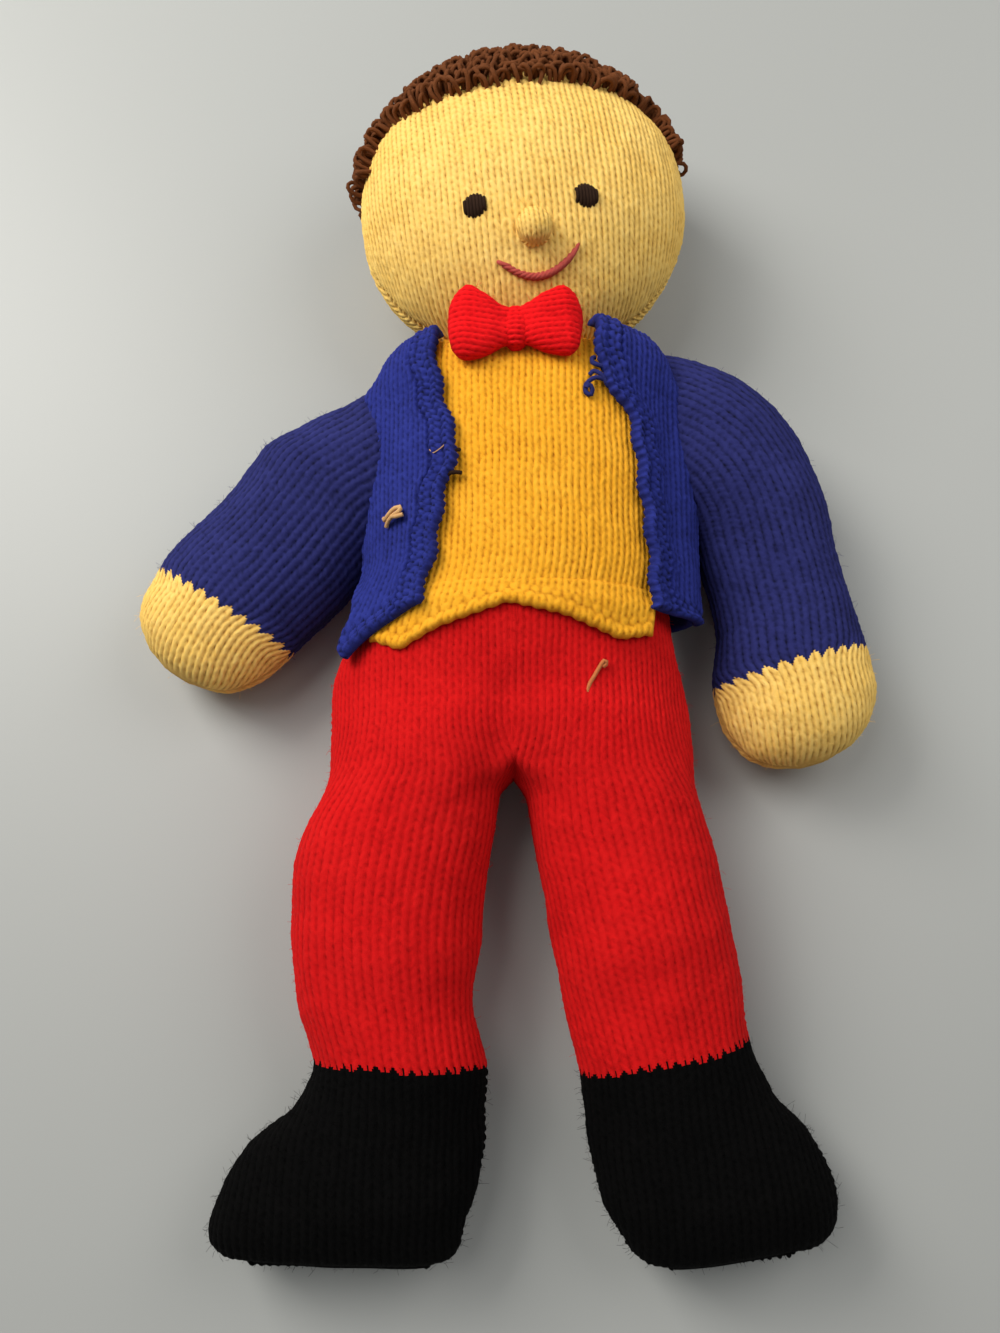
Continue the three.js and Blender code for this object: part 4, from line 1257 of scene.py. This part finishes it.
def waistcoat_hem():
    """The waistcoat's lower edge, which hangs in points over the trousers."""
    pitch, course = VEST_STITCH
    levels = np.arange(POINTS_TOP, POINTS_END, -course / ALONG)
    corners, ends = np.array(POINTS_LINE).T

    def low_at(u):
        return np.interp(u, 1.06 * corners, ends) + 0.3 * np.cos(u * 2 * math.pi / pitch)

    def limits(u, y):
        u = np.clip(u, -POINTS_REACH, POINTS_REACH)
        low = low_at(u)
        y = np.maximum(y, low)
        edge = np.minimum(np.minimum(y - low, POINTS_REACH - np.abs(u)), levels[0] - y)
        return u, y, np.clip(edge, 0, None)

    def fabric(u, y):
        low = y - low_at(u)
        plain, _ = stocking(u / pitch, (POINTS_FROM - y) / course)
        bumpy, _ = garter(u / POINTS_STITCH[0], low / POINTS_STITCH[1])
        return mix(plain, bumpy, 0.8 * ease(3.5, 5, low) * ease(10, 8, low))

    def rise(_, y):
        return -3.6 * ease(-1, POINTS_TOP, y)

    cloth = knit_sheet(
        "waistcoat_points", BODY.at, wales(-POINTS_REACH, POINTS_REACH, pitch), levels, limits,
        YELLOW, fabric, rise, gap=0.4, thick=2.4, relief=0.95,
    )
    dressed(cloth, "torso", "yellow_yarn", "waistcoat_hem")


def bow_tie():
    rows = [
        # share of the width, height, depth, upward shift, turn
        (-0.51, 0.42, 0.35, 1.5, 0), (-0.47, 0.78, 0.7, 1.2, -3), (-0.37, 1.04, 1.08, 0.6, -4),
        (-0.22, 0.86, 1.05, -0.6, -2), (-0.09, 0.58, 0.8, -1.0, 0), (0, 0.5, 0.62, -0.6, 0),
        (0.09, 0.6, 0.8, 0, 0), (0.22, 0.84, 1.05, 0.4, 3), (0.37, 0.98, 1.05, 1.4, 6),
        (0.47, 0.74, 0.7, 1.8, 5), (0.51, 0.4, 0.35, 1.6, 0),
    ]
    x = rows_of(-BOW_WIDTH * 0.51, BOW_WIDTH * 0.51, 2.6)
    tall, thick, up, turn = shaped([(r[0] * BOW_WIDTH, *r[1:]) for r in rows], x)
    front, back = halves_of(sections_of(
        x + BOW_MIDDLE, BOW_LEVEL + up, BOW_Z, BOW_HEIGHT * tall, BOW_DEPTH * thick,
        np.radians(90 + turn), 2.4,
    ))
    back[..., 2] = mix(BOW_Z, back[..., 2], BOW_FLAT)
    for half in (front, back):
        half[..., 2] += BOW_LEAN * np.clip(half[..., 1] - BOW_LEVEL, 0, None)
    wings, _ = stuffed(
        "bow_wings", (front, back), BOW_STITCH, [SCARLET], x, seed=31, seam=0.5, relief=0.8,
        puff=2.0,
    )
    x = rows_of(-KNOT_WIDTH / 2, KNOT_WIDTH / 2, 2.2)
    share = np.abs(x) / KNOT_WIDTH
    sections = sections_of(
        x + BOW_MIDDLE, BOW_LEVEL - 0.6, BOW_Z, BOW_HEIGHT * (0.6 - 0.5 * share ** 2),
        BOW_DEPTH * (0.86 - 0.6 * share ** 2), math.pi / 2, 2.3,
    )
    knot, _ = stuffed(
        "bow_knot", halves_of(sections), KNOT_STITCH, [SCARLET], x, seed=32, swell=0.5, seam=0.2
    )
    fuzzy(wings, count=300, seed=75)
    for piece, node in ((wings, "bow_tie"), (knot, "bow_tie_knot")):
        dressed(piece, "torso", "red_yarn", node, fill=0.5)


def neck():
    levels = rows_of(NECK_TOP, NECK_END, HEAD_STITCH[1])
    sections = sections_of(TORSO_SWAY, levels, CHEST_Z, NECK_WIDTH, NECK_DEPTH, 0, 2)
    obj, _ = stuffed(
        "neck_ring", halves_of(sections), HEAD_STITCH, [CREAM], NECK_TOP - levels, seed=35,
        swell=0.2, seam=0.1,
    )
    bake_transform(obj)
    dressed(obj, None, "cream_yarn", "neck_band", "neck_wadding", fill=0.6)


def on_head(points):
    """From the head's own frame to the doll's."""
    points = np.asarray(points, float)
    c, s = math.cos(HEAD_LEAN), math.sin(HEAD_LEAN)
    x = c * points[..., 0] - s * points[..., 1] + TORSO_SWAY
    y = s * points[..., 0] + c * points[..., 1] + HEAD_MIDDLE
    return np.stack([x, y, points[..., 2] + HEAD_Z], axis=-1)


def ball(width, height, depth, turn):
    """Cross-sections of a rounded form, by the turn from its top."""
    wide = np.sin(turn)
    return sections_of(0, height / 2 * np.cos(turn), 0, width * wide, depth * wide, 0, 2)


HEAD_HALF = np.array((HEAD_WIDTH, HEAD_HEIGHT, HEAD_DEPTH)) / 2


def on_face(x, y, lift):
    """Points above the face, by their places in the head's own frame."""
    a, b, c = HEAD_HALF
    z = c * np.sqrt(np.clip(1 - (x / a) ** 2 - (y / b) ** 2, 0, 1))
    seat = np.stack([x, y, z], axis=-1)
    return on_head(seat + unit(seat / HEAD_HALF ** 2) * lift[:, None])


def head():
    angle = np.linspace(0, math.pi, 2001)
    profile = np.stack([HEAD_HEIGHT * np.cos(angle), HEAD_DEPTH * np.sin(angle)], axis=-1) / 2
    arc = run_of(profile)
    end = arc[-1]
    at = rows_of(0.8, end - 0.8, HEAD_STITCH[1])
    sections = ball(HEAD_WIDTH, HEAD_HEIGHT, HEAD_DEPTH, np.interp(at, arc, angle))
    front, back = (on_head(half) for half in halves_of(sections))
    obj, facing = stuffed(
        "head", (front, back), HEAD_STITCH, [CREAM], at, seed=41, swell=1.0, seam=1.2, puff=2.0,
        loose=ease(end - 15, end - 60, at),
    )
    dressed(obj, "head", "cream_yarn", "head_front", "head_back", "head_wadding", fill=0.85)
    keep = (at > 30) & (at < end - 8)
    seams = []
    for edge in (0, -1):
        out = facing[keep, edge]
        seams.append(oversewing(
            f"head_seam_{edge}", front[keep, edge] - out * 1.2, out, CREAM, pitch=3.4, reach=2.0,
            thick=1.3,
        ))
    seam = joined(seams)
    seam.name = "head_seam"
    dressed(seam, "head", "cream_yarn")


def eye(name, side):
    """A small round eye in satin stitch."""
    radius = EYE_WIDTH / 2
    t = np.linspace(-1, 1, 7)
    lines = []
    for across in np.linspace(-0.86, 0.86, 7):
        half = radius * math.sqrt(1 - across ** 2 * 0.9)
        x = side * EYE_SPACING / 2 + across * radius + 0 * t
        lines.append(on_face(x, half * t - EYE_DROP, 1.6 - 2.0 * t ** 4))
    obj = strands(f"stitched_{name}", lines, EYE_YARN, BROWN)
    dressed(obj, "head", "brown_yarn", name)


def mouth():
    """A gentle smile in overlapping slanted stitches."""
    half = MOUTH_WIDTH / 2
    t = np.linspace(-1, 1, 7)
    lines = []
    for start in np.arange(-half, half - 1, 2.1):
        x = start + 2.4 + 2.6 * t
        y = MOUTH_CURVE * (x / half) ** 2 - MOUTH_DROP + 0.9 * t
        lines.append(on_face(x, y, 1.5 - 1.8 * t ** 4))
    obj = strands("stitched_mouth", lines, MOUTH_YARN, ROSE)
    dressed(obj, "head", "rose_yarn", "mouth")


def nose():
    radius = NOSE_WIDTH / 2
    rise = HEAD_DEPTH / 2 * math.sqrt(1 - (2 * NOSE_DROP / HEAD_HEIGHT) ** 2) + NOSE_WIDTH * 0.12
    at = rows_of(0.3, math.pi * radius - 0.3, NOSE_STITCH[1])
    sections = ball(NOSE_WIDTH, NOSE_WIDTH, NOSE_WIDTH, at / radius)
    halves = [on_head(half + (0, -NOSE_DROP, rise)) for half in halves_of(sections)]
    obj, _ = stuffed(
        "nose_bobble", halves, NOSE_STITCH, [CREAM], at, seed=43, swell=0.2, seam=0.2
    )
    dressed(obj, "head", "cream_yarn", "nose", fill=0.8)


def hair_group(x, y, z):
    """Which tuft of hair grows at a place on the head, if any."""
    if y > CROWN_LINE - 1:
        return "hair_crown"
    if y > CROWN_LINE - FRINGE_DROP + 4 and z > SIDE_HAIR_DEPTH / 2:
        return "hair_fringe"
    if y > SIDE_HAIR_END and abs(z) < SIDE_HAIR_DEPTH / 2 and abs(x) > SIDE_HAIR_INNER:
        return "hair_right_side" if x < 0 else "hair_left_side"
    return None


def hair():
    """Short loops of yarn over the crown, a fringe and a tuft down each side seam."""
    rng = np.random.default_rng(7)
    groups = {"hair_crown": [], "hair_fringe": [], "hair_right_side": [], "hair_left_side": []}
    roots = {name: [] for name in groups}
    t = np.linspace(-1, 1, 8)[:, None]
    bow = np.clip(np.cos(t * math.pi / 2), 0, 1) ** 0.7
    bow[[0, -1]] = 0
    spread = np.sin(t * math.pi / 2) * (1 - 0.25 * bow) + 0.35 * np.sin(t * math.pi)
    for _ in range(HAIR_TRIES):
        d = unit(rng.normal(size=3))
        p = d * HEAD_HALF
        if rng.uniform() > np.linalg.norm(d / HEAD_HALF) * HEAD_HALF[2]:
            continue
        group = hair_group(*p)
        if group is None:
            continue
        near = roots[group]
        if near and np.min(np.linalg.norm(np.array(near) - p, axis=1)) < HAIR_APART:
            continue
        near.append(p)
        n = unit(p / HEAD_HALF ** 2)
        side = unit(np.cross(n, rng.normal(size=3)))
        lean = np.cross(side, n) * rng.uniform(-LOOP_LEAN, LOOP_LEAN) + n
        tall = HAIR_THICK * rng.uniform(*LOOP_TALL)
        wide = rng.uniform(*LOOP_WIDE)
        loop = p - n * LOOP_ROOT + side * wide * spread * 0.8 + lean * tall * bow
        loop = on_head(loop)
        loop[:, 2] = np.maximum(loop[:, 2], 1.2)
        groups[group].append(loop)
    for name, lines in groups.items():
        obj = strands(f"{name}_loops", lines, HAIR_YARN, CHESTNUT)
        dressed(obj, "head", "chestnut_yarn", name)


def on_body(points):
    """Points over the body: x and y as seen from the front, and the height above the body."""
    x, y, lift = points.T
    seat, out = BODY.at(BODY.round_to(x - TORSO_SWAY, y), y)
    return seat + out * lift[:, None]


def curl(knots, count=14):
    """A smooth line through a few points."""
    knots = np.asarray(knots, float)
    run = run_of(knots)
    return smooth(run, knots, np.linspace(0, run[-1], count))


def yarn_ends():
    """Loose ends of yarn that were left on the clothes."""
    dark = [
        [(-29, 63.5, 3.6), (-27, 64, 5), (-25.4, 64.6, 4), (-24.6, 65.2, 2.6)],
        [(-30, 53.4, 3.6), (-27.4, 54, 5), (-25, 54.5, 3.6), (-23.8, 54.6, 2.4)],
    ]
    frayed = [
        [(38, 104, 4.5), (34, 104.5, 5.2), (31.6, 106, 4), (31.6, 108.4, 3), (33, 109.4, 3)],
        [(36, 99, 4.5), (33, 99.4, 4.6), (30.2, 98, 3), (28.6, 95.4, 2.2), (29, 92.4, 1.8),
         (31, 91.6, 2.2), (31.4, 94, 3), (29.8, 96, 3.4), (28.6, 94, 3.2)],
        [(37, 97.5, 4.5), (35, 100.5, 5), (32, 102.5, 3.5), (30.5, 101, 2.6)],
    ]
    rust = [
        [(41, -27, 2.2), (42.6, -25.4, 2.8), (41.6, -24.4, 2.8), (39.8, -27, 2.2),
         (37.5, -31, 2.2), (35.5, -34.5, 2.2), (34.6, -37.8, 1.8)],
    ]
    tan = [
        [(-53.5, 36.4, 5.4), (-51.5, 38.2, 6.8), (-48.6, 39.6, 7.4), (-46.6, 41.2, 7),
         (-46.8, 42.6, 6.8), (-48.8, 42.2, 7.6), (-51, 40.2, 7.8), (-53, 38.8, 7),
         (-54, 40.2, 6.2)],
        [(-50, 39, 7.4), (-47.6, 38.4, 7.4), (-45.8, 38.8, 6.6)],
    ]
    pale = [
        [(-36, 66, 5.6), (-34, 63.5, 6.6), (-31.5, 64.5, 7.0), (-29, 67, 6.6), (-27.5, 69.5, 5.0)],
    ]
    for name, ends, thick, finish, slot in (
        ("dark_yarn_ends", dark, 2.0, BROWN, "brown_yarn"),
        # The frayed ends take the darker copy of the blue yarn, painted shade
        ("frayed_lapel", frayed, 2.2, SHADED_BLUE, "blue_yarn"),
        ("tan_yarn_ends", tan, 2.0, TAN, "cream_yarn"),
        ("pale_hair", pale, 0.4, TAN, "cream_yarn"),
        ("rust_yarn_end", rust, 1.8, RUST, "chestnut_yarn"),
    ):
        obj = strands(name, [on_body(curl(end)) for end in ends], thick, finish)
        dressed(obj, "torso", slot)


# Stage and camera


def stage():
    alone()
    bpy.ops.mesh.primitive_plane_add(size=6, location=(0, 0, -0.0004))
    floor = bpy.context.object
    floor.name = "table"
    pale = srgb((168, 170, 167))
    finish = Finish("table_top", Base_Color=pale, Roughness=0.45, Specular_IOR_Level=0.3)
    floor.data.materials.append(finish.material)
    aim = Vector((0, 0, 0.03))
    for name, where, size, power, tint in (
        ("window", (-0.8, 0.6, 0.85), 0.6, 12.7, (1.0, 0.97, 0.93)),
        ("ceiling", (-0.7, 0.4, 1.45), 0.9, 9.6, (1.0, 0.98, 0.95)),
        ("fill", (0.75, 0.4, 0.9), 0.8, 5.4, (1.0, 0.98, 0.96)),
    ):
        lamp = bpy.data.lights.new(name, "AREA")
        lamp.size = size
        lamp.energy = power
        lamp.color = tint
        obj = bpy.data.objects.new(name, lamp)
        obj.location = where
        obj.rotation_euler = (aim - Vector(where)).to_track_quat("-Z", "Y").to_euler()
        bpy.context.scene.collection.objects.link(obj)
    world = bpy.data.worlds.new("room")
    world.use_nodes = True
    room = world.node_tree.nodes["Background"].inputs
    room["Color"].default_value = (0.92, 0.94, 0.95, 1)
    room["Strength"].default_value = 0.25
    bpy.context.scene.world = world
    bpy.context.scene.view_settings.view_transform = "Standard"


def camera():
    data = bpy.data.cameras.new("camera")
    data.sensor_width = CAMERA_SENSOR
    data.lens = CAMERA_SENSOR * PHOTO_SIZE[0] / PHOTO_SIZE[1]
    obj = bpy.data.objects.new("camera", data)
    c, s = math.cos(CAMERA_TILT), math.sin(CAMERA_TILT)
    ahead, up = Vector((0, s, -c)), Vector((0, c, s))
    turn = Matrix((ahead.cross(up), up, -ahead)).transposed()
    obj.matrix_world = Matrix.Translation(CAMERA_PLACE) @ turn.to_4x4()
    bpy.context.scene.collection.objects.link(obj)
    bpy.context.scene.camera = obj


camera()
stage()
waistcoat()
for leg in (RIGHT_LEG, LEFT_LEG):
    trousers(leg)
for arm in (RIGHT_ARM, LEFT_ARM):
    sleeve_and_hand(arm)
for front in (RIGHT_FRONT, LEFT_FRONT):
    jacket_front(front)
jacket_back()
waistcoat_hem()
bow_tie()
neck()
head()
eye("right_eye", -1)
eye("left_eye", 1)
nose()
mouth()
hair()
yarn_ends()
